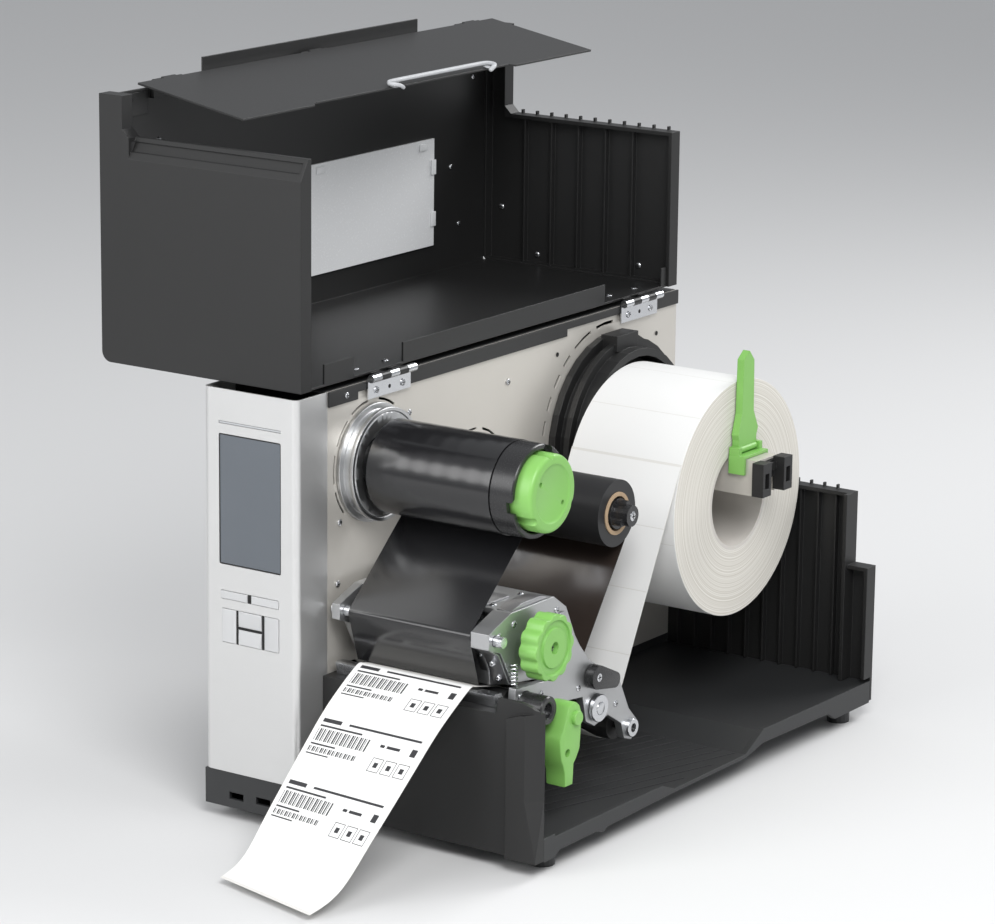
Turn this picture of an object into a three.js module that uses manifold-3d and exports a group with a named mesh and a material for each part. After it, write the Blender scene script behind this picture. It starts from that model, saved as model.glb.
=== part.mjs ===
// Thermal transfer label printer, standing with its cover folded back over the control side.
// Millimetres, +Z up. While it is being built x runs from the control side's outer wall to the
// media side, y from the front panel to the back and z up from the underside of the base.

import * as THREE from "three";
import { mergeVertices } from "three/addons/utils/BufferGeometryUtils.js";
import Module from "manifold-3d";

const wasm = await Module();
wasm.setup();

// Overall sizes
const baseWidth = 274;
const cabinetDepth = 500;
const cabinetHeight = 312;
const controlWidth = 84;
const baseHeight = 26.5;
const footHeight = 10;

// Materials and clearances
const sheet = 1.5;
const moulded = 3;
const gap = 0.3;
const webThickness = 0.4;
const arcSteps = 4;
const wallFace = controlWidth + gap;
const wallInner = wallFace - sheet - gap;

// Front panel and keys
const panelReturn = 35.5;
const panelCorner = 5;
const screen = { x0: 14, x1: 69.8, z0: 182.8, z1: 279.4 };
const screenCorner = 1.5;
const keyTravel = 0.8;

// Ribbon, media and feed axes, each as [y, z]
const rewindAxis = [89.5, 251];
const rewindRadius = 34.5;
const supplyAxis = [218.5, 205.5];
const supplyRadius = 25.2;
const mediaAxis = [391.5, 182.2];
const mediaRadius = 92.5;
const mediaWidth = 99;
const mediaStart = wallFace + 28.2;
const mediaEnd = mediaStart + mediaWidth;
const coreInner = 38.1;
const discAxis = [401, 210];
const discRadius = 84;
const platenAxis = [67, 100];
const platenRadius = 9.5;
const tensionAxis = [206, 49];
const tensionRadius = 12;
const guideAxis = [160, 75.6];
const ribbonBarAxis = [39, 153];
const ribbonBarRadius = 4;
const ribbonRestAxis = [168, 96.5];
const headPivot = [152, 101.5];
const knobAxis = [81, 142];
const knobRadius = 24.6;
const leverAxis = [92, 90];
const ribbonStart = wallFace + 19.7;
const ribbonEnd = ribbonStart + mediaWidth + 7;

// Side plate that carries the free ends of the feed shafts
const plateInner = mediaEnd + 17.5;
const plateThickness = 6;
const plateOuter = plateInner + plateThickness;

// Cover and flap, open
const coverHingeX = wallFace + 6;
const coverHingeZ = 314.5;
const coverNear = controlWidth;
const coverFar = 2 * coverHingeX - baseWidth - 4.1;
const coverFloor = 316;
const coverTop = 512;
const coverFrontTop = 482;
const coverFrontY = 5;
const coverBackY = 500;
const coverMouldDepth = 12;
const flapHinge = [coverFar + 5.2, 514];
const flapWidth = 101;
const flapDroop = 10;
const flapRise = 1.6;
const knuckle = 2.2;
const hingeSpans = [
  [79, 133],
  [413, 467],
];

const printer = new THREE.Group();

// ---------------------------------------------------------------------------------------
// Making solids

function solid(geometry) {
  const bare = geometry.clone();
  bare.deleteAttribute("normal");
  bare.deleteAttribute("uv");
  const merged = mergeVertices(bare, 1e-4);
  const corners = merged.index.array;
  const faces = [];
  for (let i = 0; i < corners.length; i += 3) {
    const face = [corners[i], corners[i + 1], corners[i + 2]];
    if (new Set(face).size === 3) {
      faces.push(...face);
    }
  }
  const vertProperties = new Float32Array(merged.attributes.position.array);
  const triVerts = new Uint32Array(faces);
  return new wasm.Manifold(new wasm.Mesh({ numProp: 3, vertProperties, triVerts }));
}

function join(...pieces) {
  return pieces.reduce((all, piece) => all.add(piece));
}

function cut(piece, ...tools) {
  return tools.reduce((rest, tool) => rest.subtract(tool), piece);
}

function box(x0, x1, y0, y1, z0, z1) {
  const block = new THREE.BoxGeometry(x1 - x0, y1 - y0, z1 - z0);
  block.translate((x0 + x1) / 2, (y0 + y1) / 2, (z0 + z1) / 2);
  return solid(block);
}

// An outline is drawn in (y, z) for axis x, (x, z) for axis y and (x, y) for axis z.
function slab(axis, outline, from, to) {
  const isShape = outline instanceof THREE.Shape;
  const shape = isShape ? outline : new THREE.Shape(outline.map((p) => new THREE.Vector2(...p)));
  const settings = { depth: to - from, bevelEnabled: false, curveSegments: arcSteps };
  const body = new THREE.ExtrudeGeometry(shape, settings);
  const along = {
    x: [new THREE.Vector3(0, 1, 0), new THREE.Vector3(0, 0, 1), new THREE.Vector3(1, 0, 0)],
    y: [new THREE.Vector3(1, 0, 0), new THREE.Vector3(0, 0, 1), new THREE.Vector3(0, -1, 0)],
    z: [new THREE.Vector3(1, 0, 0), new THREE.Vector3(0, 1, 0), new THREE.Vector3(0, 0, 1)],
  };
  const start = { x: [from, 0, 0], y: [0, to, 0], z: [0, 0, from] };
  body.applyMatrix4(new THREE.Matrix4().makeBasis(...along[axis]).setPosition(...start[axis]));
  return solid(body);
}

function rod(axis, radius, from, to, [u, v], sides = 24) {
  const shape = new THREE.Shape();
  for (let i = 0; i < sides; i++) {
    const turn = (2 * Math.PI * i) / sides;
    const point = [u + radius * Math.cos(turn), v + radius * Math.sin(turn)];
    if (i === 0) {
      shape.moveTo(...point);
    } else {
      shape.lineTo(...point);
    }
  }
  return slab(axis, shape, from, to);
}

function tube(axis, outer, inner, from, to, centre, sides = 24) {
  const bore = rod(axis, inner, from - 1, to + 1, centre, sides);
  return cut(rod(axis, outer, from, to, centre, sides), bore);
}

function roundedOutline(u0, u1, v0, v1, radius) {
  const shape = new THREE.Shape();
  shape.moveTo(u0 + radius, v0);
  shape.lineTo(u1 - radius, v0);
  shape.absarc(u1 - radius, v0 + radius, radius, -Math.PI / 2, 0);
  shape.lineTo(u1, v1 - radius);
  shape.absarc(u1 - radius, v1 - radius, radius, 0, Math.PI / 2);
  shape.lineTo(u0 + radius, v1);
  shape.absarc(u0 + radius, v1 - radius, radius, Math.PI / 2, Math.PI);
  shape.lineTo(u0, v0 + radius);
  shape.absarc(u0 + radius, v0 + radius, radius, Math.PI, 1.5 * Math.PI);
  return shape;
}

// A slot that follows a circle, for the punched rings in the centre wall.
function arcSlot([u, v], radius, width, fromDegrees, toDegrees) {
  const steps = Math.max(2, Math.ceil((toDegrees - fromDegrees) / 12));
  const outer = [];
  const inner = [];
  for (let i = 0; i <= steps; i++) {
    const turn = THREE.MathUtils.degToRad(fromDegrees + ((toDegrees - fromDegrees) * i) / steps);
    outer.push([u + (radius + width / 2) * Math.cos(turn), v + (radius + width / 2) * Math.sin(turn)]);
    inner.unshift([u + (radius - width / 2) * Math.cos(turn), v + (radius - width / 2) * Math.sin(turn)]);
  }
  return [...outer, ...inner];
}

// A thin web that follows a line of [y, z] points and is as wide as x0 to x1.
function web(points, thickness, x0, x1) {
  const path = points.map((p) => new THREE.Vector2(...p));
  const sides = [[], []];
  path.forEach((point, i) => {
    const before = path[Math.max(i - 1, 0)];
    const after = path[Math.min(i + 1, path.length - 1)];
    const along = after.clone().sub(before).normalize();
    const across = new THREE.Vector2(-along.y, along.x).multiplyScalar(thickness / 2);
    sides[0].push([point.x + across.x, point.y + across.y]);
    sides[1].unshift([point.x - across.x, point.y - across.y]);
  });
  return slab("x", [...sides[0], ...sides[1]], x0, x1);
}

// The two points where a straight web leaves circle a and meets circle b. A crossed web
// passes between the two circles; side is +1 or -1 and picks which of the two such webs.
function tangent(a, radiusA, b, radiusB, crossed, side) {
  const away = Math.atan2(b[1] - a[1], b[0] - a[0]);
  const distance = Math.hypot(b[0] - a[0], b[1] - a[1]);
  const reach = crossed ? radiusA + radiusB : radiusA - radiusB;
  const turn = away + side * Math.acos(reach / distance);
  const flip = crossed ? -1 : 1;
  return {
    leave: [a[0] + radiusA * Math.cos(turn), a[1] + radiusA * Math.sin(turn)],
    meet: [b[0] + flip * radiusB * Math.cos(turn), b[1] + flip * radiusB * Math.sin(turn)],
    turn,
  };
}

function arcPoints([u, v], radius, from, to, steps) {
  const points = [];
  for (let i = 0; i <= steps; i++) {
    const turn = from + ((to - from) * i) / steps;
    points.push([u + radius * Math.cos(turn), v + radius * Math.sin(turn)]);
  }
  return points;
}

function clockwise([u, v], radius, from, to, steps) {
  const turn = THREE.MathUtils.euclideanModulo(from - to, 2 * Math.PI);
  return arcPoints([u, v], radius, from, from - turn, steps);
}

const finishes = {
  black_cover: { color: 0x2f3032, roughness: 0.55, metalness: 0.1 },
  black_plastic: { color: 0x252527, roughness: 0.6, metalness: 0 },
  brushed: { color: 0xd9d9d8, roughness: 0.35, metalness: 0.9 },
  wall: { color: 0xcfcac2, roughness: 0.4, metalness: 0.7 },
  cast: { color: 0xb9babc, roughness: 0.35, metalness: 0.9 },
  steel: { color: 0xc4c6c8, roughness: 0.2, metalness: 1 },
  green: { color: 0x76b254, roughness: 0.45, metalness: 0 },
  paper: { color: 0xf4f3f0, roughness: 0.8, metalness: 0 },
  ribbon: { color: 0x121213, roughness: 0.25, metalness: 0 },
  rubber: { color: 0x1b1b1c, roughness: 0.9, metalness: 0 },
  glass: { color: 0x6f7780, roughness: 0.15, metalness: 0 },
  clear: { color: 0xc9cbcc, roughness: 0.3, metalness: 0 },
  silver_key: { color: 0xbfc1c3, roughness: 0.4, metalness: 0.5 },
  board: { color: 0x2c5a3a, roughness: 0.6, metalness: 0 },
  grey_handle: { color: 0xb7babd, roughness: 0.5, metalness: 0 },
};

function place(name, finish, body) {
  const mesh = body.getMesh();
  const geometry = new THREE.BufferGeometry();
  geometry.setAttribute("position", new THREE.BufferAttribute(mesh.vertProperties, 3));
  geometry.setIndex(new THREE.BufferAttribute(mesh.triVerts, 1));
  const piece = new THREE.Mesh(geometry, new THREE.MeshStandardMaterial(finishes[finish]));
  piece.name = name;
  printer.add(piece);
}

// ---------------------------------------------------------------------------------------
// Base: a closed bay under the electronics and an open tray under the media

const trayFloor = 8.5;
const trayRearFloor = 20;
const trayRamp = [308, 334];
const trayStart = 36;
const trayEnd = cabinetDepth - moulded - gap;
const usbPorts = [
  [28.6, 9.2],
  [53.2, 9.9],
];
const usbSize = [13, 5.4];
const footRadius = 9;
const feet = [
  { at: [20, 58], top: 1 },
  { at: [20, cabinetDepth - 24], top: 1 },
  { at: [baseWidth - 16, 58], top: trayFloor - 1 },
  { at: [baseWidth - 16, cabinetDepth - 24], top: trayRearFloor - 1 },
];

function baseTray() {
  const bay = box(0, controlWidth, 0, cabinetDepth, 0, baseHeight);
  const room = box(moulded, controlWidth - moulded, moulded, cabinetDepth - moulded, moulded, baseHeight + 1);
  const floor = slab("x", [
    [trayStart, trayFloor - moulded],
    [trayRamp[0], trayFloor - moulded],
    [trayRamp[1], trayRearFloor - moulded],
    [trayEnd, trayRearFloor - moulded],
    [trayEnd, trayRearFloor],
    [trayRamp[1], trayRearFloor],
    [trayRamp[0], trayFloor],
    [trayStart, trayFloor],
  ], controlWidth - 1, baseWidth);
  const skirt = slab("x", [
    [trayStart, 0],
    [50, 0],
    [56, 4],
    [104, 4],
    [112, 1.3],
    [118, 4],
    [208, 5.5],
    [trayRamp[0], 5.5],
    [trayRamp[1], 11],
    [382, 10],
    [432, 9],
    [443, 2.4],
    [trayEnd, 2.4],
    [trayEnd, trayRearFloor],
    [trayRamp[1], trayRearFloor + 2],
    [trayRamp[0], trayFloor],
    [208, trayFloor],
    [191, 15],
    [50, 15.5],
    [50, 17.5],
    [trayStart, 17.5],
  ], baseWidth - 4, baseWidth);
  const rearEdge = box(controlWidth - 1, baseWidth, trayEnd - moulded, trayEnd, 2.4, trayRearFloor);
  const frontEdge = box(controlWidth - 1, baseWidth, trayStart, trayStart + moulded, 0, trayFloor);
  let tray = join(cut(bay, room), floor, skirt, rearEdge, frontEdge);
  for (const [x, z] of usbPorts) {
    const [width, height] = usbSize;
    tray = cut(tray, box(x - width / 2, x + width / 2, -1, moulded + 1, z - height / 2, z + height / 2));
  }
  for (const foot of feet) {
    tray = join(tray, rod("z", footRadius, -footHeight, foot.top, foot.at, 16));
  }
  return tray;
}
place("base_tray", "black_plastic", baseTray());

// ---------------------------------------------------------------------------------------
// Cabinet: bent shell round the electronics bay, centre wall and brushed front panel

const inletHole = { x0: 24, x1: 52, z0: 44, z1: 68 };

function cabinetShell() {
  const bottom = baseHeight + gap;
  const side = box(0, sheet, panelReturn + gap, cabinetDepth, bottom, cabinetHeight);
  const top = box(0, wallInner - gap, panelReturn + gap, cabinetDepth, cabinetHeight - sheet, cabinetHeight);
  const back = box(0, wallInner - gap, cabinetDepth - sheet, cabinetDepth, bottom, cabinetHeight);
  let shell = join(side, top, back);
  shell = cut(shell, box(inletHole.x0, inletHole.x1, cabinetDepth - 5, cabinetDepth + 1, inletHole.z0, inletHole.z1));
  for (let i = 0; i < 12; i++) {
    const y = 300 + i * 12;
    shell = cut(shell, box(-1, sheet + 1, y, y + 3, 60, 96));
  }
  return shell;
}
place("cabinet_shell", "black_cover", cabinetShell());

const shaftHole = 7;

function centreWall() {
  const front = panelReturn + gap;
  let wall = box(wallInner, wallInner + sheet, front, cabinetDepth, baseHeight + gap, cabinetHeight - gap);
  wall = cut(wall, rod("x", shaftHole, wallInner - 1, wallFace + 1, platenAxis, 16));
  const slots = [
    ...[96, 130, 164, 198, 20, 54].map((a) => arcSlot(rewindAxis, 46.2, 1.8, a, a + 26)),
    ...[50, 84, 118, 10].map((a) => arcSlot([216.5, 205], 46, 1.8, a, a + 24)),
    ...[86, 106, 126, 138, 150, 162].map((a, i) => arcSlot(discAxis, 91.7, 2.6, a, a + (i < 2 ? 15 : 7))),
  ];
  for (const slot of slots) {
    wall = cut(wall, slab("x", slot, wallInner - 1, wallFace + 1));
  }
  return wall;
}
place("centre_wall", "wall", centreWall());

const trimDrop = 11;

function wallTrim() {
  const band = box(wallFace + 0.1, wallFace + 1.6, panelReturn + gap, cabinetDepth, 306.5, cabinetHeight);
  const lower = [
    [panelReturn + gap, 70],
    [hingeSpans[0][1] + 1, 340],
    [hingeSpans[1][1] + 1, cabinetDepth],
  ].map(([y0, y1]) => box(wallFace + 0.1, wallFace + 1.6, y0, y1, cabinetHeight - trimDrop, 308));
  return join(band, ...lower);
}
place("wall_trim", "black_cover", wallTrim());

const keys = [
  { name: "menu_key_left", x0: 15.7, x1: 39.7, z0: 157.4, z1: 163.4 },
  { name: "menu_key_right", x0: 43.3, x1: 67.6, z0: 157.4, z1: 163.4 },
  { name: "cancel_key", x0: 16.6, x1: 29.2, z0: 125, z1: 150 },
  { name: "enter_key", x0: 55, x1: 67.8, z0: 125, z1: 150 },
  { name: "up_key", x0: 31.6, x1: 52.4, z0: 138.5, z1: 150 },
  { name: "down_key", x0: 31.6, x1: 52.4, z0: 125, z1: 136.2 },
];

function frontPanel() {
  const right = wallFace;
  const outline = new THREE.Shape();
  outline.moveTo(0, panelReturn);
  outline.lineTo(0, panelCorner);
  outline.absarc(panelCorner, panelCorner, panelCorner, Math.PI, 1.5 * Math.PI);
  outline.lineTo(right - panelCorner, 0);
  outline.absarc(right - panelCorner, panelCorner, panelCorner, -Math.PI / 2, 0);
  outline.lineTo(right, panelReturn);
  outline.lineTo(right - sheet, panelReturn);
  outline.lineTo(right - sheet, panelCorner);
  outline.absarc(right - panelCorner, panelCorner, panelCorner - sheet, 0, -Math.PI / 2, true);
  outline.lineTo(panelCorner, sheet);
  outline.absarc(panelCorner, panelCorner, panelCorner - sheet, -Math.PI / 2, -Math.PI, true);
  outline.lineTo(sheet, panelReturn);
  let panel = slab("z", outline, baseHeight + gap, cabinetHeight);
  const { x0, x1, z0, z1 } = screen;
  panel = cut(panel, slab("y", roundedOutline(x0, x1, z0, z1, screenCorner), -1, sheet + 1));
  panel = cut(panel, box(x0, x1, -1, sheet + 1, 286.6, 288.6));
  for (const key of keys) {
    const hole = roundedOutline(key.x0 - gap, key.x1 + gap, key.z0 - gap, key.z1 + gap, 0.8);
    panel = cut(panel, slab("y", hole, -1, sheet + 1));
  }
  return panel;
}

place("front_panel", "brushed", frontPanel());

for (const key of keys) {
  const capOutline = roundedOutline(key.x0, key.x1, key.z0, key.z1, 0.6);
  const cap = slab("y", capOutline, -0.8, sheet + gap + 0.2);
  const flange = box(key.x0 - 0.8, key.x1 + 0.8, sheet + gap, sheet + gap + 1, key.z0 - 0.6, key.z1 + 0.6);
  place(key.name, "silver_key", join(cap, flange));
}

// Screen, its board and the key switches behind the panel are one module.
function displayModule() {
  const board = box(8, controlWidth - 8, 8, 9.6, 116, 296);
  const frame = box(10, controlWidth - 10, sheet + gap, 8.5, 180, 283);
  const { x0, x1, z0, z1 } = screen;
  const glassOutline = roundedOutline(x0 + gap, x1 - gap, z0 + gap, z1 - gap, screenCorner);
  const glass = slab("y", glassOutline, 0.5, sheet + 1);
  const rearOfKeys = sheet + gap + 1 + keyTravel + gap;
  const switches = keys.map((key) => {
    const x = (key.x0 + key.x1) / 2;
    const z = (key.z0 + key.z1) / 2;
    return box(x - 3, x + 3, rearOfKeys, 8.5, z - 2.5, z + 2.5);
  });
  const mounts = [120, 292].flatMap((z) => [12, controlWidth - 12].map((x) => rod("y", 2, sheet + gap, 8.5, [x, z], 12)));
  return join(board, frame, glass, ...switches, ...mounts);
}
place("display_module", "glass", displayModule());

function indicatorStrip() {
  const lens = box(screen.x0 + gap, screen.x1 - gap, 0.4, sheet + gap + 1, 286.6 + gap, 288.6 - gap);
  const base = box(screen.x0 - 1, screen.x1 + 1, sheet + gap, 7.7, 285.4, 289.8);
  return join(lens, base);
}
place("indicator_strip", "clear", indicatorStrip());

// ---------------------------------------------------------------------------------------
// Inside the electronics bay

function mainBoard() {
  const x = wallInner - 14.5;
  const board = box(x, x + 1.6, 250, 470, 60, 280);
  const posts = [264, 456].flatMap((y) => [74, 266].map((z) => rod("x", 3, x + 1, wallInner - gap, [y, z], 12)));
  const chips = [
    box(x - 6, x + 0.5, 300, 330, 180, 210),
    box(x - 4, x + 0.5, 350, 400, 120, 140),
    box(x - 8, x + 0.5, 425, 450, 200, 250),
  ];
  return join(board, ...posts, ...chips);
}
place("main_board", "board", mainBoard());

function powerSupply() {
  const floor = moulded + gap;
  const can = box(8, 54, 290, 460, floor, 42);
  const vents = [...Array(8).keys()].map((i) => box(16, 46, 302 + i * 20, 306 + i * 20, 36, 44));
  return cut(can, ...vents);
}
place("power_supply", "cast", powerSupply());

function powerInlet() {
  const { x0, x1, z0, z1 } = inletHole;
  const flange = box(x0 - 3, x1 + 3, cabinetDepth + gap, cabinetDepth + 2, z0 - 3, z1 + 3);
  const body = box(x0 + gap, x1 - gap, cabinetDepth - 24, cabinetDepth + 1, z0 + gap, z1 - gap);
  const socket = box(x0 + 4, x1 - 4, cabinetDepth - 18, cabinetDepth + 3, z0 + 4, z1 - 4);
  const pins = [-7, 0, 7].map((dx) => {
    const x = (x0 + x1) / 2 + dx;
    const z = (z0 + z1) / 2 + (dx === 0 ? 2.5 : -1.5);
    return box(x - 1, x + 1, cabinetDepth - 20, cabinetDepth - 4, z - 2, z + 2);
  });
  return join(cut(join(flange, body), socket), ...pins);
}
place("power_inlet", "black_plastic", powerInlet());

// The feed motor turns the platen through a toothed belt.
const motorAxis = [150, 128];
const motorHalf = 21;
const motorPulleyRadius = 7;
const platenPulleyRadius = 14;
const beltThickness = 1.4;
const pulleySpan = [wallInner - 15.5, wallInner - 6.5];

function feedMotor() {
  const [y, z] = motorAxis;
  const front = pulleySpan[0] - 4;
  const can = box(front - 43, front - 3, y - motorHalf, y + motorHalf, z - motorHalf, z + motorHalf);
  const face = box(front - 4, front, y - motorHalf - 6, y + motorHalf + 6, z - motorHalf, z + motorHalf);
  const legY = y + motorHalf + 3.5;
  const legs = [-1, 1].map((side) => {
    const legZ = z + side * (motorHalf - 6);
    return box(front - 4, wallInner - gap, legY - 2.5, legY + 2.5, legZ - 5, legZ + 5);
  });
  return cut(join(can, face, ...legs), rod("x", 3 + gap, front - 13, front + 7, motorAxis, 12));
}
place("feed_motor", "cast", feedMotor());

function motorPulley() {
  const shaft = rod("x", 3, pulleySpan[0] - 15, pulleySpan[1], motorAxis, 12);
  const wheel = rod("x", motorPulleyRadius, ...pulleySpan, motorAxis, 16);
  return join(shaft, wheel);
}
place("motor_pulley", "steel", motorPulley());

function beltOutline(allowance) {
  const radiusA = platenPulleyRadius + allowance;
  const radiusB = motorPulleyRadius + allowance;
  const line = tangent(platenAxis, radiusA, motorAxis, radiusB, false, 1);
  const other = tangent(platenAxis, radiusA, motorAxis, radiusB, false, -1);
  return [
    ...arcPoints(platenAxis, radiusA, line.turn, other.turn + 2 * Math.PI, 18),
    ...arcPoints(motorAxis, radiusB, other.turn, line.turn, 12),
  ];
}

function timingBelt() {
  const outer = slab("x", beltOutline(gap + beltThickness), pulleySpan[0] + 1, pulleySpan[1] - 1);
  return cut(outer, slab("x", beltOutline(gap), pulleySpan[0] - 1, pulleySpan[1] + 1));
}
place("timing_belt", "rubber", timingBelt());

// ---------------------------------------------------------------------------------------
// Ribbon rewind and supply

function wallFlange(axis, outer, depth, bore) {
  const plate = rod("x", outer, wallFace + gap, wallFace + 3, axis, 32);
  const step = rod("x", outer - 5, wallFace + 2, wallFace + depth - 3, axis, 32);
  const rim = rod("x", outer - 2, wallFace + depth - 4, wallFace + depth, axis, 32);
  const dish = rod("x", bore + 9, wallFace + 6, wallFace + depth + 1, axis, 32);
  return cut(join(plate, step, rim), dish, rod("x", bore, wallFace - 1, wallFace + depth + 1, axis, 24));
}
const rewindJournal = 20;
place("rewind_flange", "steel", wallFlange(rewindAxis, 43.7, 13, rewindJournal + gap));

const spindleRadius = 30;
const rewindTube = ribbonEnd + 20;

function rewindSpindle() {
  const journal = rod("x", rewindJournal, wallFace + gap, ribbonStart, rewindAxis, 24);
  const core = rod("x", spindleRadius, ribbonStart - 1, ribbonEnd + 1, rewindAxis, 32);
  const end = rod("x", rewindRadius - 0.4, ribbonEnd + gap, rewindTube, rewindAxis, 32);
  const mouth = rod("x", spindleRadius, rewindTube - 14, rewindTube + 1, rewindAxis, 32);
  const notches = [70, 190, 310].map((degrees) => {
    const turn = THREE.MathUtils.degToRad(degrees);
    const y = rewindAxis[0] + spindleRadius * Math.cos(turn);
    const z = rewindAxis[1] + spindleRadius * Math.sin(turn);
    return rod("x", 5.5, rewindTube - 5, rewindTube + 1, [y, z], 12);
  });
  return cut(join(journal, core, end), mouth, ...notches);
}
place("rewind_spindle", "black_plastic", rewindSpindle());

const rewindRoll = tube("x", rewindRadius, spindleRadius + gap, ribbonStart, ribbonEnd, rewindAxis, 32);
place("rewind_ribbon_roll", "ribbon", rewindRoll);

const capEnd = rewindTube + 12;
const capRadius = 28.5;

function rewindCap() {
  const back = rewindTube - 14 + gap;
  let cap = rod("x", capRadius, back, capEnd, rewindAxis, 32);
  for (const degrees of [95, 215, 335]) {
    const turn = THREE.MathUtils.degToRad(degrees);
    const y = rewindAxis[0] + (capRadius + 1) * Math.cos(turn);
    const z = rewindAxis[1] + (capRadius + 1) * Math.sin(turn);
    cap = cut(cap, rod("x", 4, back - 1, capEnd + 1, [y, z], 12));
  }
  for (const side of [-1, 1]) {
    const hole = [rewindAxis[0] + side * 16, rewindAxis[1] - side * 11];
    cap = cut(cap, rod("x", 1.8, capEnd - 8, capEnd + 1, hole, 12));
  }
  return cap;
}
place("rewind_cap", "green", rewindCap());

const supplyJournal = 11.5;
place("supply_flange", "steel", wallFlange(supplyAxis, 42, 12, supplyJournal + gap));

const supplyCoreInner = 12.9;
const supplyEnd = ribbonEnd + 2;

function supplySpindle() {
  const shaft = rod("x", supplyJournal, wallFace + gap, supplyEnd + 2, supplyAxis, 24);
  const hub = rod("x", 8, supplyEnd + 1, supplyEnd + 14, supplyAxis, 16);
  const fins = [90, 210, 330].map((degrees) => {
    const turn = THREE.MathUtils.degToRad(degrees);
    const y = supplyAxis[0] + 8 * Math.cos(turn);
    const z = supplyAxis[1] + 8 * Math.sin(turn);
    return rod("x", 3.2, ribbonStart, supplyEnd + 10, [y, z], 12);
  });
  return join(shaft, hub, ...fins);
}
place("supply_spindle", "black_plastic", supplySpindle());

function supplyRoll() {
  const core = tube("x", 16.1, supplyCoreInner, ribbonStart, supplyEnd + 1, supplyAxis, 32);
  const wound = tube("x", supplyRadius, 15, ribbonStart, supplyEnd, supplyAxis, 32);
  return join(core, wound);
}
place("supply_ribbon_roll", "ribbon", supplyRoll());

// ---------------------------------------------------------------------------------------
// Media holder: back disc, cantilever arm, roll of labels and swing-up guard

const armHalf = 14.5;
const armTop = mediaAxis[1] + Math.sqrt(coreInner ** 2 - armHalf ** 2) - gap - 0.1;
const armHeight = 28;
const armEnd = mediaEnd + 24.5;

function mediaDisc() {
  const steps = [
    [wallFace + gap, wallFace + 6, discRadius],
    [wallFace + 5, wallFace + 13, discRadius - 8],
    [wallFace + 12, wallFace + 17, discRadius - 3],
    [wallFace + 16, mediaStart - gap, discRadius - 10],
  ];
  const rings = steps.map(([from, to, radius]) => rod("x", radius, from, to, discAxis, 32));
  const hollow = rod("x", discRadius - 16, wallFace + 8, mediaStart + 1, discAxis, 32);
  const seat = box(wallFace + 4, mediaStart - gap, mediaAxis[0] - 24, mediaAxis[0] + 24, 180, armTop + 6);
  const clip = box(wallFace + 4, mediaStart - 9.3, discAxis[0] - 17, discAxis[0] + 13, 283, 295.4);
  const disc = join(cut(join(...rings), hollow), seat, clip);
  const armRoom = box(wallFace + 12, mediaStart + 1, mediaAxis[0] - armHalf - gap, mediaAxis[0] + armHalf + gap,
    armTop - armHeight - gap, armTop + gap);
  return cut(disc, armRoom);
}
place("media_back_disc", "black_plastic", mediaDisc());

function holderArm() {
  const [y] = mediaAxis;
  const wall = 2;
  const start = wallFace + 12 + gap;
  const outer = box(start, armEnd, y - armHalf, y + armHalf, armTop - armHeight, armTop);
  const inner = box(start - 1, armEnd + 1, y - armHalf + wall, y + armHalf - wall, armTop - armHeight - 1, armTop - wall);
  return cut(outer, inner);
}
place("holder_arm", "wall", holderArm());

function armEndPiece() {
  const [y] = mediaAxis;
  const x0 = armEnd + gap;
  const bridge = box(x0, x0 + 3, y - armHalf, y + armHalf, armTop - 10, armTop - 4);
  const blocks = [-1, 1].map((side) => {
    const centre = y + side * (armHalf + 1);
    const head = box(x0, x0 + 10, centre - 6, centre + 6, armTop - 26, armTop);
    return cut(head, box(x0 + 4, x0 + 11, centre - 3, centre + 3, armTop - 20, armTop - 8));
  });
  const plug = box(x0 - 10, x0 + 1, y - armHalf + 2.6, y + armHalf - 2.6, armTop - 16, armTop - 2.6);
  return join(bridge, plug, ...blocks);
}
place("holder_arm_end", "black_plastic", armEndPiece());

function mediaRoll() {
  return tube("x", mediaRadius, coreInner, mediaStart, mediaEnd, mediaAxis, 48);
}
place("media_roll", "paper", mediaRoll());

const guardStart = mediaEnd + 1.2;
const guardThickness = 6;
const guardPivotZ = armTop + 5.4;
const guardPinRadius = 1.6;
const guardBarrelRadius = 2.6;
const guardHeight = 76;

function guardSlider() {
  const [y] = mediaAxis;
  const x1 = guardStart + 14;
  const saddle = box(guardStart, x1, y - armHalf - 3, y + armHalf + 3, armTop - 12, armTop + 2.4);
  const room = box(guardStart - 1, x1 + 1, y - armHalf - gap, y + armHalf + gap, armTop - 13, armTop + gap);
  const ears = [-1, 1].map((side) => {
    const centre = y + side * 15;
    return box(guardStart, guardStart + 9, centre - 2, centre + 2, armTop + 2, guardPivotZ + 3);
  });
  const pin = rod("y", guardPinRadius, y - 16, y + 16, [guardStart + 5, guardPivotZ], 12);
  return join(cut(saddle, room), ...ears, pin);
}
place("guard_slider", "green", guardSlider());

function guardLever() {
  const [y] = mediaAxis;
  const x0 = guardStart;
  const outline = [
    [y - 12.7, guardPivotZ + 8],
    [y - 12.7, guardPivotZ - 2.2],
    [y + 12.7, guardPivotZ - 2.2],
    [y + 12.7, guardPivotZ + 8],
    [y + 15, guardPivotZ + 14],
    [y + 8, guardPivotZ + 28],
    [y + 7, guardPivotZ + guardHeight - 8],
    [y, guardPivotZ + guardHeight],
    [y - 8, guardPivotZ + guardHeight - 6],
    [y - 9, guardPivotZ + 28],
    [y - 14, guardPivotZ + 12],
  ];
  const blade = slab("x", outline, x0, x0 + guardThickness);
  const barrel = rod("y", guardBarrelRadius, y - 12.7, y + 12.7, [x0 + 5, guardPivotZ], 12);
  const bore = rod("y", guardPinRadius + gap, y - 14, y + 14, [x0 + 5, guardPivotZ], 12);
  return cut(join(blade, barrel), bore);
}
place("guard_lever", "green", guardLever());

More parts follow.
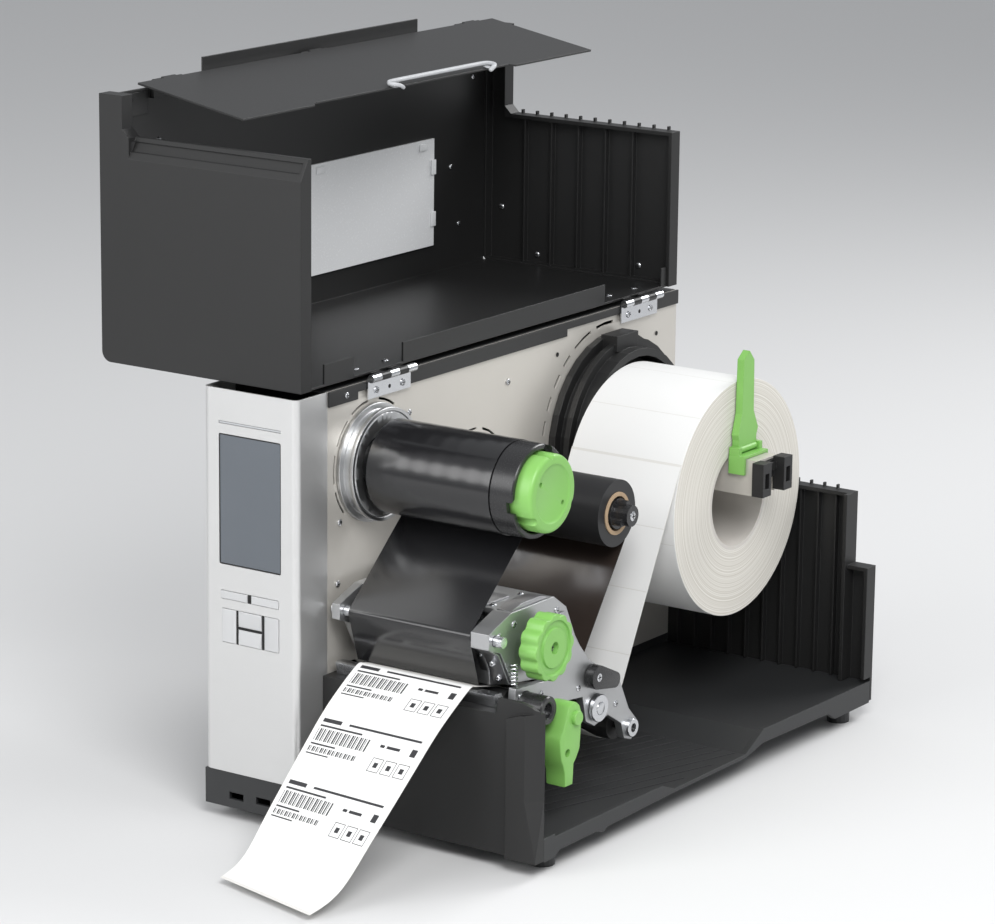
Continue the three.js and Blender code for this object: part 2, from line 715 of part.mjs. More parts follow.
// ---------------------------------------------------------------------------------------
// Feed shafts and the side plate at their free ends

function sidePlate() {
  const outline = [
    [53, 86],
    [80, 78],
    [104, 80],
    [124, 90],
    [142, 88],
    [147, 68],
    [158, 62],
    [176, 66],
    [194, 55],
    [199, 42],
    [208, 39],
    [215, 44],
    [215, 53],
    [204, 64],
    [192, 87],
    [168, 103],
    [150, 114],
    [128, 138],
    [116, 138],
    [104, 118],
    [92, 112],
    [56, 115],
  ];
  const holes = [
    [platenAxis, 10.5 + gap],
    [headPivot, 4 + gap],
    [guideAxis, 5 + gap],
    [tensionAxis, 3 + gap],
  ];
  let plate = slab("x", outline, plateInner, plateOuter);
  for (const [centre, radius] of holes) {
    plate = cut(plate, rod("x", radius, plateInner - 1, plateOuter + 1, centre, 24));
  }
  const leverPin = rod("x", 3.6, plateOuter - 1, plateOuter + 29, leverAxis, 16);
  return join(plate, leverPin);
}
place("side_plate", "cast", sidePlate());

const platenShaftRadius = 5;
place("platen_bush", "black_plastic", tube("x", 10.5, platenShaftRadius + gap, plateInner - 3, plateInner + 27, platenAxis, 24));

function platenShaft() {
  const shaft = rod("x", platenShaftRadius, pulleySpan[0] - 3, plateInner + 21, platenAxis, 16);
  const pulley = rod("x", platenPulleyRadius, ...pulleySpan, platenAxis, 24);
  return join(shaft, pulley);
}
place("platen_shaft", "steel", platenShaft());
const rollerSpan = [wallFace + 11.7, plateInner - 7];
place("platen_rubber", "rubber", tube("x", platenRadius, platenShaftRadius + gap, ...rollerSpan, platenAxis, 24));

function guideShaft() {
  const shaft = rod("x", 5, wallFace + gap, plateOuter + 5, guideAxis, 16);
  const flange = rod("x", 10.4, plateOuter + gap, plateOuter + 4, guideAxis, 24);
  return join(shaft, flange);
}
place("media_guide_shaft", "steel", guideShaft());

function headPivotShaft() {
  const shaft = rod("x", 4, wallFace + gap, plateOuter + 2, headPivot, 16);
  const far = [headPivot[0] + 22, headPivot[1] - 7];
  const big = rod("x", 9, plateOuter + gap, plateOuter + 8, headPivot, 16);
  const small = rod("x", 6, plateOuter + gap, plateOuter + 8, far, 16);
  const edge = tangent(headPivot, 9, far, 6, false, 1);
  const other = tangent(headPivot, 9, far, 6, false, -1);
  const middle = slab("x", [edge.leave, edge.meet, other.meet, other.leave], plateOuter + gap, plateOuter + 8);
  return join(shaft, big, small, middle);
}
place("head_pivot_shaft", "black_plastic", headPivotShaft());

const restBar = rod("x", 4, wallFace + gap, plateInner - gap, ribbonRestAxis, 16);
place("ribbon_rest_bar", "steel", restBar);

function tensionRoller() {
  const journal = rod("x", 3, wallFace + gap, plateOuter + 1, tensionAxis, 12);
  const roller = rod("x", tensionRadius, ...rollerSpan, tensionAxis, 24);
  return join(journal, roller);
}
place("tension_roller", "black_plastic", tensionRoller());

// ---------------------------------------------------------------------------------------
// Print head on its rocking frame

const frameLeft = [wallFace + 7.7, wallFace + 14.4];
const frameRight = [plateInner - 15.7, plateInner - gap];

function headFrame() {
  const outline = [
    [31, 148],
    [31, 159],
    [38, 162],
    [58, 169],
    [112, 169],
    [128, 158],
    [140, 134],
    [156, 112],
    [161, 101],
    [156, 92],
    [146, 91],
    [136, 98],
    [110, 109],
    [84, 114],
    [60, 117],
    [54, 128],
    [46, 142],
  ];
  const cheeks = [frameLeft, frameRight].map(([from, to]) => slab("x", outline, from, to));
  const top = box(frameLeft[0], frameRight[1], 60, 112, 165.5, 169);
  const stay = rod("x", 5, frameLeft[0], frameRight[1], [124, 150], 16);
  let frame = join(...cheeks, top, stay);
  frame = cut(frame, rod("x", 4 + gap, wallFace, plateOuter, headPivot, 16));
  frame = cut(frame, rod("x", ribbonBarRadius + gap, wallFace, plateOuter, ribbonBarAxis, 16));
  frame = cut(frame, rod("x", 5 + gap, frameRight[0] - 1, frameRight[1] + 1, knobAxis, 16));
  return frame;
}
place("head_frame", "cast", headFrame());

const headFace = platenAxis[1] + platenRadius + 1.8;

function printHead() {
  const outline = [
    [56, headFace + 2.9],
    [69, headFace],
    [102, headFace],
    [102, 136],
    [96, 136],
    [96, 165],
    [90, 165],
    [90, 136],
    [62, 140],
    [54, 128],
  ];
  return slab("x", outline, frameLeft[1] + gap, frameRight[0] - gap);
}
place("print_head", "cast", printHead());

place("ribbon_front_bar", "steel", rod("x", ribbonBarRadius, wallFace + 3.7, plateInner + 7, ribbonBarAxis, 16));

function pressureKnob() {
  const x0 = plateOuter + 1;
  const lobes = 12;
  const outline = new THREE.Shape();
  const steps = lobes * 4;
  for (let i = 0; i < steps; i++) {
    const turn = (2 * Math.PI * i) / steps;
    const radius = knobRadius - (i % 4 === 2 ? 1.8 : 0);
    const point = [knobAxis[0] + radius * Math.cos(turn), knobAxis[1] + radius * Math.sin(turn)];
    if (i === 0) {
      outline.moveTo(...point);
    } else {
      outline.lineTo(...point);
    }
  }
  const wheel = slab("x", outline, x0, x0 + 15);
  const stub = rod("x", 5, frameRight[0], x0 + 1, knobAxis, 16);
  const recess = rod("x", 4.5, x0 + 11, x0 + 16, knobAxis, 12);
  return cut(join(wheel, stub), recess);
}
place("pressure_knob", "green", pressureKnob());

function releaseLever() {
  const outline = [
    [84, 99],
    [90, 102],
    [97.5, 98],
    [100, 88],
    [98.5, 66],
    [91, 56],
    [90, 41],
    [80.5, 41],
    [79.5, 52],
    [75, 62],
    [72.5, 77],
    [77, 83],
  ];
  const x0 = plateOuter + 10;
  const arm = slab("x", outline, x0, x0 + 17);
  const bore = rod("x", 3.6 + gap, x0 - 1, x0 + 18, leverAxis, 16);
  return cut(arm, bore, rod("x", 2.2, x0 - 1, x0 + 18, [82.5, 66], 12));
}
place("release_lever", "green", releaseLever());

// ---------------------------------------------------------------------------------------
// Ribbon and label webs

const webOffset = gap + webThickness / 2;
const ribbonOffset = 2 * gap + 1.5 * webThickness;

const exitTurn = THREE.MathUtils.degToRad(77);
const platenWeb = platenRadius + webOffset;
const exitStart = arcPoints(platenAxis, platenWeb, exitTurn, exitTurn, 1)[0];
const tearEdgeY = 40;
const exitRise = -1 / Math.tan(exitTurn);
const tearEdgeZ = exitStart[1] + (tearEdgeY - exitStart[0]) * exitRise;

// The printed strip leaves the tear edge and curls down in front of the machine.
const stripCurve = new THREE.SplineCurve([
  new THREE.Vector2(tearEdgeY, tearEdgeZ),
  new THREE.Vector2(31, tearEdgeZ - 1.2),
  new THREE.Vector2(0, 95.3),
  new THREE.Vector2(-28, 69.8),
  new THREE.Vector2(-61, 35.9),
  new THREE.Vector2(-84, 10),
  new THREE.Vector2(-97, 0.5),
  new THREE.Vector2(-112, -4.5),
]);

// In front of the tear edge the strip swings towards the control side, its far corner leading.
function swing(point) {
  const share = Math.max(tearEdgeY - point[1], 0) / (tearEdgeY + 112);
  const turn = THREE.MathUtils.degToRad(14) * share ** 2;
  const x = point[0] - mediaStart;
  point[0] = mediaStart + x * Math.cos(turn) - 10 * share ** 2;
  point[1] -= x * Math.sin(turn);
}

function labelWeb() {
  const rollWeb = mediaRadius + webOffset;
  const tensionWeb = tensionRadius + webOffset;
  const down = tangent(mediaAxis, rollWeb, tensionAxis, tensionWeb, true, -1);
  const forward = tangent(tensionAxis, tensionWeb, platenAxis, platenWeb, true, 1);
  const points = [
    down.leave,
    ...clockwise(tensionAxis, tensionWeb, down.turn - Math.PI, forward.turn, 8),
    ...arcPoints(platenAxis, platenWeb, forward.turn - Math.PI, exitTurn, 3),
    ...stripCurve.getPoints(28).map((p) => [p.x, p.y]),
  ];
  return web(points, webThickness, mediaStart, mediaEnd).warp(swing);
}
place("label_web", "paper", labelWeb());

function ribbonRearWeb() {
  const rollWeb = supplyRadius + webOffset;
  const barWeb = 4 + webOffset;
  const down = tangent(supplyAxis, rollWeb, ribbonRestAxis, barWeb, false, 1);
  const forward = tangent(ribbonRestAxis, barWeb, platenAxis, platenRadius + ribbonOffset, true, 1);
  const points = [
    down.leave,
    ...clockwise(ribbonRestAxis, barWeb, down.turn, forward.turn, 6),
    forward.meet,
  ];
  return web(points, webThickness, ribbonStart, ribbonEnd);
}
place("ribbon_rear_web", "ribbon", ribbonRearWeb());

function ribbonFrontWeb() {
  const barWeb = ribbonBarRadius + webOffset;
  const peel = [46, tearEdgeZ + (46 - tearEdgeY) * exitRise + 2 * webOffset];
  const start = [67.6, exitStart[1] + (67.6 - exitStart[0]) * exitRise + gap + webThickness];
  const rise = tangent(peel, 0.001, ribbonBarAxis, barWeb, false, 1);
  const upper = tangent(ribbonBarAxis, barWeb, rewindAxis, rewindRadius + webOffset, true, 1);
  const points = [
    start,
    peel,
    ...clockwise(ribbonBarAxis, barWeb, rise.turn, upper.turn, 6),
    upper.meet,
  ];
  return web(points, webThickness, ribbonStart, ribbonEnd);
}
place("ribbon_front_web", "ribbon", ribbonFrontWeb());

// ---------------------------------------------------------------------------------------
// Lower front cover, tear bar and rear wall of the media side

const lowerFrontY = 30;
const lowerFrontTop = 113.6;
const tearBarZ = [108, 114];
const columnFlare = 46;

// The right end of the cover is a column with a face turned outwards above its foot.
function lowerFrontCover() {
  const start = wallFace + gap;
  const column = baseWidth - 26;
  const outline = [
    [start, 1],
    [baseWidth, 1],
    [baseWidth, lowerFrontTop - 4],
    [baseWidth - 8, lowerFrontTop],
    [baseWidth - 16, lowerFrontTop + 2],
    [baseWidth - 36, lowerFrontTop + 2],
    [baseWidth - 38, tearBarZ[0] - 4],
    [start, tearBarZ[0] - 4],
  ];
  const face = slab("y", outline, lowerFrontY, lowerFrontY + moulded);
  const rightWall = box(baseWidth - moulded, baseWidth, lowerFrontY, trayStart - gap, 1, lowerFrontTop - 4);
  const shelf = box(start, baseWidth - 37, lowerFrontY, 50, tearBarZ[0] - 7, tearBarZ[0] - 4);
  const block = slab("y", [
    [column, 1],
    [baseWidth, 1],
    [baseWidth, lowerFrontTop - 4],
    [column + 12, lowerFrontTop - 6],
    [column, lowerFrontTop - 10],
  ], lowerFrontY - 5, trayStart - gap);
  const corner = (reach) => [
    [baseWidth + 1, lowerFrontY - 6],
    [baseWidth + 1, lowerFrontY - 6 + reach],
    [baseWidth + 1 - reach, lowerFrontY - 6],
  ];
  const flare = wasm.Manifold.hull([
    slab("z", corner(12), columnFlare, columnFlare + 1),
    slab("z", corner(1.5), 2, 3),
  ]);
  const side = join(flare, slab("z", corner(12), columnFlare, lowerFrontTop));
  return cut(join(face, rightWall, shelf, block), side);
}
place("lower_front_cover", "black_plastic", lowerFrontCover());

function tearBar() {
  const bar = slab("x", [
    [38, tearBarZ[1] - 1],
    [40, tearBarZ[1]],
    [47, tearBarZ[1] - 0.6],
    [52, 104 + gap],
    [40, 104 + gap],
  ], wallFace + 5.7, plateInner - gap);
  return bar;
}
place("tear_bar", "steel", tearBar());

const rearTop = 172;
const rearStep = [baseWidth - 18, 114.5];

const toothWidth = 1.5;

function teeth(x0, x1, y0, y1, z0, z1, pitch) {
  const count = Math.floor((x1 - x0) / pitch);
  return [...Array(count).keys()].map((i) => {
    const x = x0 + (i + 0.5) * pitch;
    return box(x - toothWidth / 2, x + toothWidth / 2, y0, y1, z0, z1);
  });
}

function rearWall() {
  const start = wallFace + gap;
  const outline = [
    [start, 4],
    [baseWidth, 4],
    [baseWidth, rearStep[1]],
    [rearStep[0], rearStep[1]],
    [rearStep[0], rearTop],
    [start, rearTop],
  ];
  const inner = cabinetDepth - moulded;
  const plate = slab("y", outline, inner, cabinetDepth);
  const ribFoot = trayRearFloor + gap;
  const ribs = teeth(start + 4, rearStep[0] - 4, inner - 5, inner + 1, ribFoot, rearTop - 4, 16);
  const spikes = teeth(start + 4, rearStep[0] - 4, inner, cabinetDepth, rearTop - 1, rearTop + 3, 12);
  const edge = box(rearStep[0] - moulded, rearStep[0], inner - 14, inner + 1, ribFoot, rearTop);
  const lip = box(baseWidth - moulded, baseWidth, inner - 10, inner + 1, ribFoot + 3, rearStep[1]);
  const shelf = box(rearStep[0] - 1, baseWidth, inner - 10, inner + 1, rearStep[1] - moulded, rearStep[1]);
  const top = box(start, rearStep[0], inner - 8, inner + 1, rearTop - moulded, rearTop);
  return join(plate, ...ribs, ...spikes, edge, lip, shelf, top);
}
place("rear_wall", "black_plastic", rearWall());

// ---------------------------------------------------------------------------------------
// Hinges of the cover: fixed leaves with the pin, and leaves rolled from the cover sheet

const barrelRadius = 3;
const pinRadius = 1.4;
const leafThickness = 1.2;

function knuckleSpans([from, to]) {
  const width = (to - from) / 5;
  return [0, 1, 2, 3, 4].map((i) => [from + i * width + gap / 2, from + (i + 1) * width - gap / 2]);
}

function hingeLeaf(span) {
  const x0 = wallFace + 1.6 + gap;
  const leaf = box(x0, x0 + leafThickness, span[0] + 1, span[1] - 1, 299, coverHingeZ - 1);
  const centre = [coverHingeX, coverHingeZ];
  const spans = knuckleSpans(span).filter((_, i) => i % 2 === 0);
  const barrels = spans.flatMap(([from, to]) => [
    rod("y", barrelRadius, from, to, centre, 12),
    box(x0, coverHingeX, from, to, coverHingeZ - 2.6, coverHingeZ - 1.2),
  ]);
  return join(leaf, ...barrels, rod("y", pinRadius, span[0] + 1, span[1] - 1, centre, 12));
}
place("hinge_leaf_front", "steel", hingeLeaf(hingeSpans[0]));
place("hinge_leaf_rear", "steel", hingeLeaf(hingeSpans[1]));

// ---------------------------------------------------------------------------------------
// Cover: a bent sheet between a moulded front and a moulded rear, folded back by half a turn

const sheetFront = coverFrontY + coverMouldDepth + gap;
const sheetRear = coverBackY - coverMouldDepth - gap;
const windowFrame = { y0: 250, y1: 410, z0: 344, z1: 423 };
const lipTop = 332;
const flapKnuckles = [
  [60, 92],
  [236, 268],
  [440, 472],
];

function coverSheet() {
  const floor = box(coverFar, coverNear - 2, sheetFront, sheetRear, coverFloor, coverFloor + sheet);
  const wall = box(coverFar, coverFar + sheet, sheetFront, sheetRear, coverFloor, coverTop - 2);
  const lips = [
    [35, 70],
    [130, 398],
    [480, sheetRear],
  ].map(([y0, y1]) => box(coverNear - 2 - sheet, coverNear - 2, y0, y1, coverFloor, lipTop));
  const upperLip = box(coverFar, coverFar + sheet, 122, 393, coverTop - 3, coverTop + 13);
  let cover = join(floor, wall, ...lips, upperLip);
  const { y0, y1, z0, z1 } = windowFrame;
  cover = cut(cover, box(coverFar - 1, coverFar + sheet + 1, y0, y1, z0, z1));
  const centre = [coverHingeX, coverHingeZ];
  for (const span of hingeSpans) {
    const moving = knuckleSpans(span).filter((_, i) => i % 2 === 1);
    const strap = box(coverNear - 22, coverNear - 4, span[0], span[1], coverFloor - 1.3, coverFloor + 0.5);
    cover = join(cover, strap);
    for (const [from, to] of moving) {
      const barrel = tube("y", barrelRadius, pinRadius + gap, from, to, centre, 12);
      const tongue = box(coverNear - 5, coverHingeX - 2.2, from, to, coverFloor - 1.3, coverFloor + 0.4);
      cover = join(cover, barrel, tongue);
    }
  }
  const [hx, hz] = flapHinge;
  for (const [from, to] of flapKnuckles) {
    const leaf = box(coverFar + 1, hx + 0.4, from, to, hz - 12, hz - 1.4);
    const ends = [from, to - 8].map((y) => tube("y", knuckle, 0.9, y, y + 8, flapHinge, 12));
    const pin = rod("y", 0.95, from, to, flapHinge, 12);
    cover = join(cover, cut(leaf, box(hx - 5, hx + 5, from + 7, to - 7, hz - 6, hz + 5)), ...ends, pin);
  }
  return cover;
}
place("cover_sheet", "black_cover", coverSheet());

const columnWidth = 21;

function coverMoulding(y0, y1, top, open) {
  const radius = 8;
  const outline = new THREE.Shape();
  outline.moveTo(coverFar + radius, coverFloor);
  outline.lineTo(coverNear, coverFloor);
  outline.lineTo(coverNear, top);
  outline.lineTo(coverFar + columnWidth + 6, top);
  outline.lineTo(coverFar + columnWidth, top + 6);
  outline.lineTo(coverFar + columnWidth, coverTop);
  outline.lineTo(coverFar, coverTop);
  outline.lineTo(coverFar, coverFloor + radius);
  outline.absarc(coverFar + radius, coverFloor + radius, radius, Math.PI, 1.5 * Math.PI);
  const inner = [
    [coverFar + moulded, coverFloor + moulded],
    [coverNear - moulded, coverFloor + moulded],
    [coverNear - moulded, top - moulded],
    [coverFar + columnWidth, top - moulded],
    [coverFar + columnWidth - moulded, coverTop - moulded],
    [coverFar + moulded, coverTop - moulded],
  ];
  const from = open === "back" ? y0 + moulded : y0 - 1;
  const to = open === "back" ? y1 + 1 : y1 - moulded;
  return cut(slab("y", outline, y0, y1), slab("y", inner, from, to));
}

function coverFront() {
  const body = coverMoulding(coverFrontY, coverFrontY + coverMouldDepth, coverFrontTop, "back");
  const bevel = slab("x", [
    [coverFrontY - 1, coverFrontTop - 15],
    [coverFrontY, coverFrontTop - 15],
    [coverFrontY + 9, coverFrontTop + 1],
    [coverFrontY - 1, coverFrontTop + 1],
  ], coverFar + columnWidth + 6, coverNear + 1);
  const backing = slab("x", [
    [coverFrontY + 0.5, coverFrontTop - 16],
    [coverFrontY + 10, coverFrontTop],
    [coverFrontY + coverMouldDepth, coverFrontTop],
    [coverFrontY + coverMouldDepth, coverFrontTop - 4],
    [coverFrontY + 3, coverFrontTop - 18],
  ], coverFar + columnWidth + 6, coverNear);
  return join(cut(body, bevel), cut(backing, bevel));
}
place("cover_front", "black_plastic", coverFront());

const coverRearTop = 440;

function coverRear() {
  const y0 = coverBackY - coverMouldDepth;
  const body = coverMoulding(y0, coverBackY, coverRearTop, "front");
  const inner = coverBackY - moulded;
  const left = coverFar + columnWidth + 4;
  const ribs = teeth(left, coverNear - 4, inner - 5, inner + 1, coverFloor + 2, coverRearTop - 2, 26);
  const spikes = teeth(left, coverNear - 2, inner, coverBackY, coverRearTop - 1, coverRearTop + 3, 14);
  return join(body, ...ribs, ...spikes);
}
place("cover_rear", "black_plastic", coverRear());

function coverWindow() {
  const { y0, y1, z0, z1 } = windowFrame;
  const pane = box(coverFar + 0.2, coverFar + sheet + 2, y0 + gap, y1 - gap, z0 + gap, z1 - gap);
  const rim = box(coverFar + sheet + gap, coverFar + sheet + 2.2, y0 - 4, y1 + 4, z0 - 4, z1 + 4);
  return join(pane, rim);
}
place("cover_window", "clear", coverWindow());

// The flap hinges on the far edge of the cover and rests sloping down over it. Its sheet stands
// off the pin by flapRise, so that it hangs just outside the base when the cover is closed.
function flapSheet() {
  const [hx, hz] = flapHinge;
  const y0 = 38;
  const y1 = 486;
  const start = 3.2;
  const outline = [
    [start, y0],
    [flapWidth, y0],
    [flapWidth, 122],
    [flapWidth - 4, 126],
    [flapWidth - 4, 376],
    [flapWidth, 380],
    [flapWidth, y1],
    [start, y1],
  ];
  let flap = slab("z", outline, flapRise, flapRise + sheet);
  for (const [from, to] of flapKnuckles) {
    const barrel = rod("y", knuckle, from + 8 + gap, to - 8 - gap, [0, 0], 12);
    const arm = box(0, start + 1, from + 8 + gap, to - 8 - gap, 1, flapRise + sheet);
    const bore = rod("y", 0.95 + gap, from, to, [0, 0], 12);
    flap = cut(join(flap, barrel, arm), bore);
  }
  return flap.rotate([0, flapDroop, 0]).translate([hx, 0, hz]);
}
place("flap_sheet", "black_cover", flapSheet());

function flapHandle() {
  const [hx, hz] = flapHinge;
  const y0 = 216;
  const y1 = 356;
  const x1 = flapWidth + 3;
  const top = flapRise + sheet;
  const grip = slab("z", roundedOutline(flapWidth - 10, x1, y0, y1, 5), top + gap, top + 5);
  const apron = box(flapWidth - 4 + gap, x1, y0 + 12, y1 - 12, flapRise, top + 3);
  return join(grip, apron).rotate([0, flapDroop, 0]).translate([hx, 0, hz]);
}
place("flap_handle", "grey_handle", flapHandle());

// ---------------------------------------------------------------------------------------
// The origin is under the middle of the whole printer, at the level it stands on.

const bounds = new THREE.Box3().setFromObject(printer);
const middle = bounds.getCenter(new THREE.Vector3());
printer.position.set(-middle.x, -middle.y, -bounds.min.z);

export default printer;
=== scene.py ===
import bmesh
import bpy
import math
from mathutils import Matrix, Vector


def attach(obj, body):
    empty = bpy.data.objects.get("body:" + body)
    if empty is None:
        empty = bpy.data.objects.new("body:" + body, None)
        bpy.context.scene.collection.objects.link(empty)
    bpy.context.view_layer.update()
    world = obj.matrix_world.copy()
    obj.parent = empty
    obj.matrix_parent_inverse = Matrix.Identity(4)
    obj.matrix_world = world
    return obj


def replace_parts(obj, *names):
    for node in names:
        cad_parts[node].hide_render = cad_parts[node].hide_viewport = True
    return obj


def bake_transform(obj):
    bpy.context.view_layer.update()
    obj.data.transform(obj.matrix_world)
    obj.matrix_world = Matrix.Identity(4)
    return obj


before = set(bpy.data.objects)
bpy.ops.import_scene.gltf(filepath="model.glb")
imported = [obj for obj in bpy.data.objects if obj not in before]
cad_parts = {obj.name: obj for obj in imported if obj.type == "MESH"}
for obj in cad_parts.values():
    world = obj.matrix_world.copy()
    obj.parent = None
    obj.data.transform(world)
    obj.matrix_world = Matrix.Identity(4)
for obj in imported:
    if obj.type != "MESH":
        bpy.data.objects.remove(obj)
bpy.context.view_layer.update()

# ---- Cover sheets, cabinet shell and flap: bent steel, powder coated black ----
# The coat is a satin black with a fine orange peel and faint clouding, and every bend and cut
# edge is slightly rounded, so that it catches a thin line of light.
def coated(name, colour, rough, metal=0.0, peel=900.0, depth=0.00004, cloud=0.12, edge=0.0004,
           stretch=(1, 1, 1), coat=0.0):
    material = bpy.data.materials.new(name)
    material.use_nodes = True
    nodes, links = material.node_tree.nodes, material.node_tree.links
    shader = nodes["Principled BSDF"]
    shader.inputs["Metallic"].default_value = metal
    shader.inputs["Coat Weight"].default_value = coat
    shader.inputs["Coat Roughness"].default_value = 0.15
    place = nodes.new("ShaderNodeTexCoord")
    scaling = nodes.new("ShaderNodeMapping")
    scaling.inputs["Scale"].default_value = stretch
    links.new(place.outputs["Object"], scaling.inputs["Vector"])
    grain = nodes.new("ShaderNodeTexNoise")
    grain.inputs["Scale"].default_value = peel
    grain.inputs["Detail"].default_value = 3.0
    links.new(scaling.outputs["Vector"], grain.inputs["Vector"])
    broad = nodes.new("ShaderNodeTexNoise")
    broad.inputs["Scale"].default_value = 11.0
    broad.inputs["Detail"].default_value = 5.0
    links.new(place.outputs["Object"], broad.inputs["Vector"])
    tint = nodes.new("ShaderNodeMix")
    tint.data_type = "RGBA"
    tint.inputs[6].default_value = [*(c * (1 - cloud) for c in colour), 1]
    tint.inputs[7].default_value = [*(min(c * (1 + cloud), 1) for c in colour), 1]
    links.new(broad.outputs["Fac"], tint.inputs[0])
    links.new(tint.outputs[2], shader.inputs["Base Color"])
    uneven = nodes.new("ShaderNodeMapRange")
    uneven.inputs["To Min"].default_value = max(rough - 0.06, 0.02)
    uneven.inputs["To Max"].default_value = min(rough + 0.06, 1)
    links.new(grain.outputs["Fac"], uneven.inputs["Value"])
    links.new(uneven.outputs["Result"], shader.inputs["Roughness"])
    bump = nodes.new("ShaderNodeBump")
    bump.inputs["Strength"].default_value = 0.6
    bump.inputs["Distance"].default_value = depth
    links.new(grain.outputs["Fac"], bump.inputs["Height"])
    rounding = nodes.new("ShaderNodeBevel")
    rounding.samples = 4
    rounding.inputs["Radius"].default_value = edge
    links.new(rounding.outputs["Normal"], bump.inputs["Normal"])
    links.new(bump.outputs["Normal"], shader.inputs["Normal"])
    return material


def dress(material, *names):
    for name in names:
        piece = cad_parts[name]
        piece.data.materials.clear()
        piece.data.materials.append(material)


black_coat = coated("black_coat", (0.013, 0.013, 0.013), 0.42, peel=1500.0, edge=0.0006)
dress(black_coat, "cover_sheet", "cabinet_shell", "wall_trim", "flap_sheet")

# Where the cabinet's control side, front panel and base underside lie from the shared origin, in mm.
origin_x, origin_y, foot_height = 88.25, 182.9885, 10


def at(x, y, z):
    """Millimetres from the control side, the front panel and the base, in the shared frame."""
    return Vector(((x - origin_x) / 1000, (y - origin_y) / 1000, (z + foot_height) / 1000))


def piece(name, bm, material, body, slot=None, smooth=35, parts=()):
    """A finished mesh on its body. parts are further materials, in the order of their index."""
    bmesh.ops.recalc_face_normals(bm, faces=bm.faces)
    mesh = bpy.data.meshes.new(name)
    bm.to_mesh(mesh)
    bm.free()
    mesh.shade_smooth()
    mesh.set_sharp_from_angle(angle=math.radians(smooth))
    made = bpy.data.objects.new(name, mesh)
    bpy.context.scene.collection.objects.link(made)
    for each in (material, *parts):
        mesh.materials.append(each)
    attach(made, body)
    return made


def add_box(bm, x0, x1, y0, y1, z0, z1, bevel=0.0, index=0):
    made = bmesh.ops.create_cube(bm, size=1)["verts"]
    low, high = at(x0, y0, z0), at(x1, y1, z1)
    for v in made:
        v.co = Vector([low[i] + (v.co[i] + 0.5) * (high[i] - low[i]) for i in range(3)])
    faces = list({f for v in made for f in v.link_faces})
    if bevel:
        edges = list({e for v in made for e in v.link_edges})
        old = faces
        faces = bmesh.ops.bevel(bm, geom=edges, offset=bevel / 1000, segments=2, profile=0.6,
                                affect="EDGES", clamp_overlap=True)["faces"]
        faces += [f for f in old if f.is_valid]
    for f in faces:
        f.material_index = index
    return faces


def add_turned(bm, profile, centre, axis="x", sides=96, index=0, closed=False):
    """profile is [(place along the axis, radius)...], centre the other two coordinates, in mm."""
    rings = []
    for along, radius in profile:
        ring = []
        for i in range(sides if radius > 0 else 1):
            turn = 2 * math.pi * i / sides
            u, v = centre[0] + radius * math.cos(turn), centre[1] + radius * math.sin(turn)
            spot = {"x": (along, u, v), "y": (u, along, v), "z": (u, v, along)}[axis]
            ring.append(bm.verts.new(at(*spot)))
        rings.append(ring)
    if closed:
        rings.append(rings[0])
    for a, b in zip(rings, rings[1:]):
        for i in range(sides):
            j = (i + 1) % sides
            corners = [a[i % len(a)], a[j % len(a)], b[j % len(b)], b[i % len(b)]]
            corners = list(dict.fromkeys(corners))
            if len(corners) > 2:
                bm.faces.new(corners).material_index = index


# shadow_gap is painted shade: a near-black laid on as flat patches where slots, holes, screw crosses and gaps
# show only shade.
shadow = coated("shadow_gap", (0.004, 0.004, 0.004), 0.7, cloud=0.05)
steel = coated("bright_steel", (0.62, 0.63, 0.65), 0.24, metal=1.0, peel=420.0, cloud=0.05, edge=0.0002)

# The far edge of the cover carries a small pressed bracket with a slot and a hole near its front.
bm = bmesh.new()
add_box(bm, -95.9, -94.9, 24, 57, 491, 508, bevel=0.3)
# The slot and the hole are near-black patches on the bracket's face, painted shade, not cut through it.
add_box(bm, -95.2, -94.7, 30, 32.5, 495, 505, index=1)
add_turned(bm, [(-94.85, 0), (-94.85, 1.9), (-94.6, 1.9), (-94.6, 0)], (38, 503), sides=24, index=1)
piece("flap_bracket", bm, black_coat, "cover", "black_sheet", parts=[shadow])

# ---- Cover front and rear, rear wall and lower front cover: textured black mouldings ----
# Moulded in black with a fine spark-eroded texture. They clip to the bent sheets.
moulded_black = coated("moulded_black", (0.011, 0.011, 0.011), 0.5, peel=2200.0, depth=0.00003, edge=0.0008)
dress(moulded_black, "cover_front", "cover_rear", "rear_wall", "lower_front_cover", "media_back_disc",
      "holder_arm_end", "head_pivot_shaft", "tension_roller", "power_inlet", "platen_bush")

# ---- Base: dark grey moulding with a grooved floor under the media ----
# The same texture in a slightly lighter grey. The grooves in the open floor are proud ribs that
# run back and outwards, and the ports in the front are dark inside.
base_grey = coated("base_grey", (0.022, 0.023, 0.024), 0.48, peel=1800.0, depth=0.00004, edge=0.0007)
dress(base_grey, "base_tray")
tray_black = coated("tray_black", (0.030, 0.030, 0.032), 0.4, peel=1200.0, edge=0.0004)
def add_slab(bm, outline, low, high, axis="x", bevel=0.0, segments=2, index=0):
    """A flat shape drawn across the axis, from low to high along it, in mm."""
    def spot(u, v, w):
        return at(*{"x": (w, u, v), "y": (u, w, v), "z": (u, v, w)}[axis])
    ends = [[bm.verts.new(spot(u, v, w)) for u, v in outline] for w in (low, high)]
    faces = [bm.faces.new(end) for end in ends]
    count = len(outline)
    for i in range(count):
        j = (i + 1) % count
        faces.append(bm.faces.new((ends[0][i], ends[0][j], ends[1][j], ends[1][i])))
    if bevel:
        bmesh.ops.recalc_face_normals(bm, faces=faces)
        edges = [e for f in faces[:2] for e in f.edges]
        faces += bmesh.ops.bevel(bm, geom=edges, offset=bevel / 1000, segments=segments, profile=0.6,
                                 affect="EDGES", clamp_overlap=True)["faces"]
    for f in faces:
        if f.is_valid:
            f.material_index = index


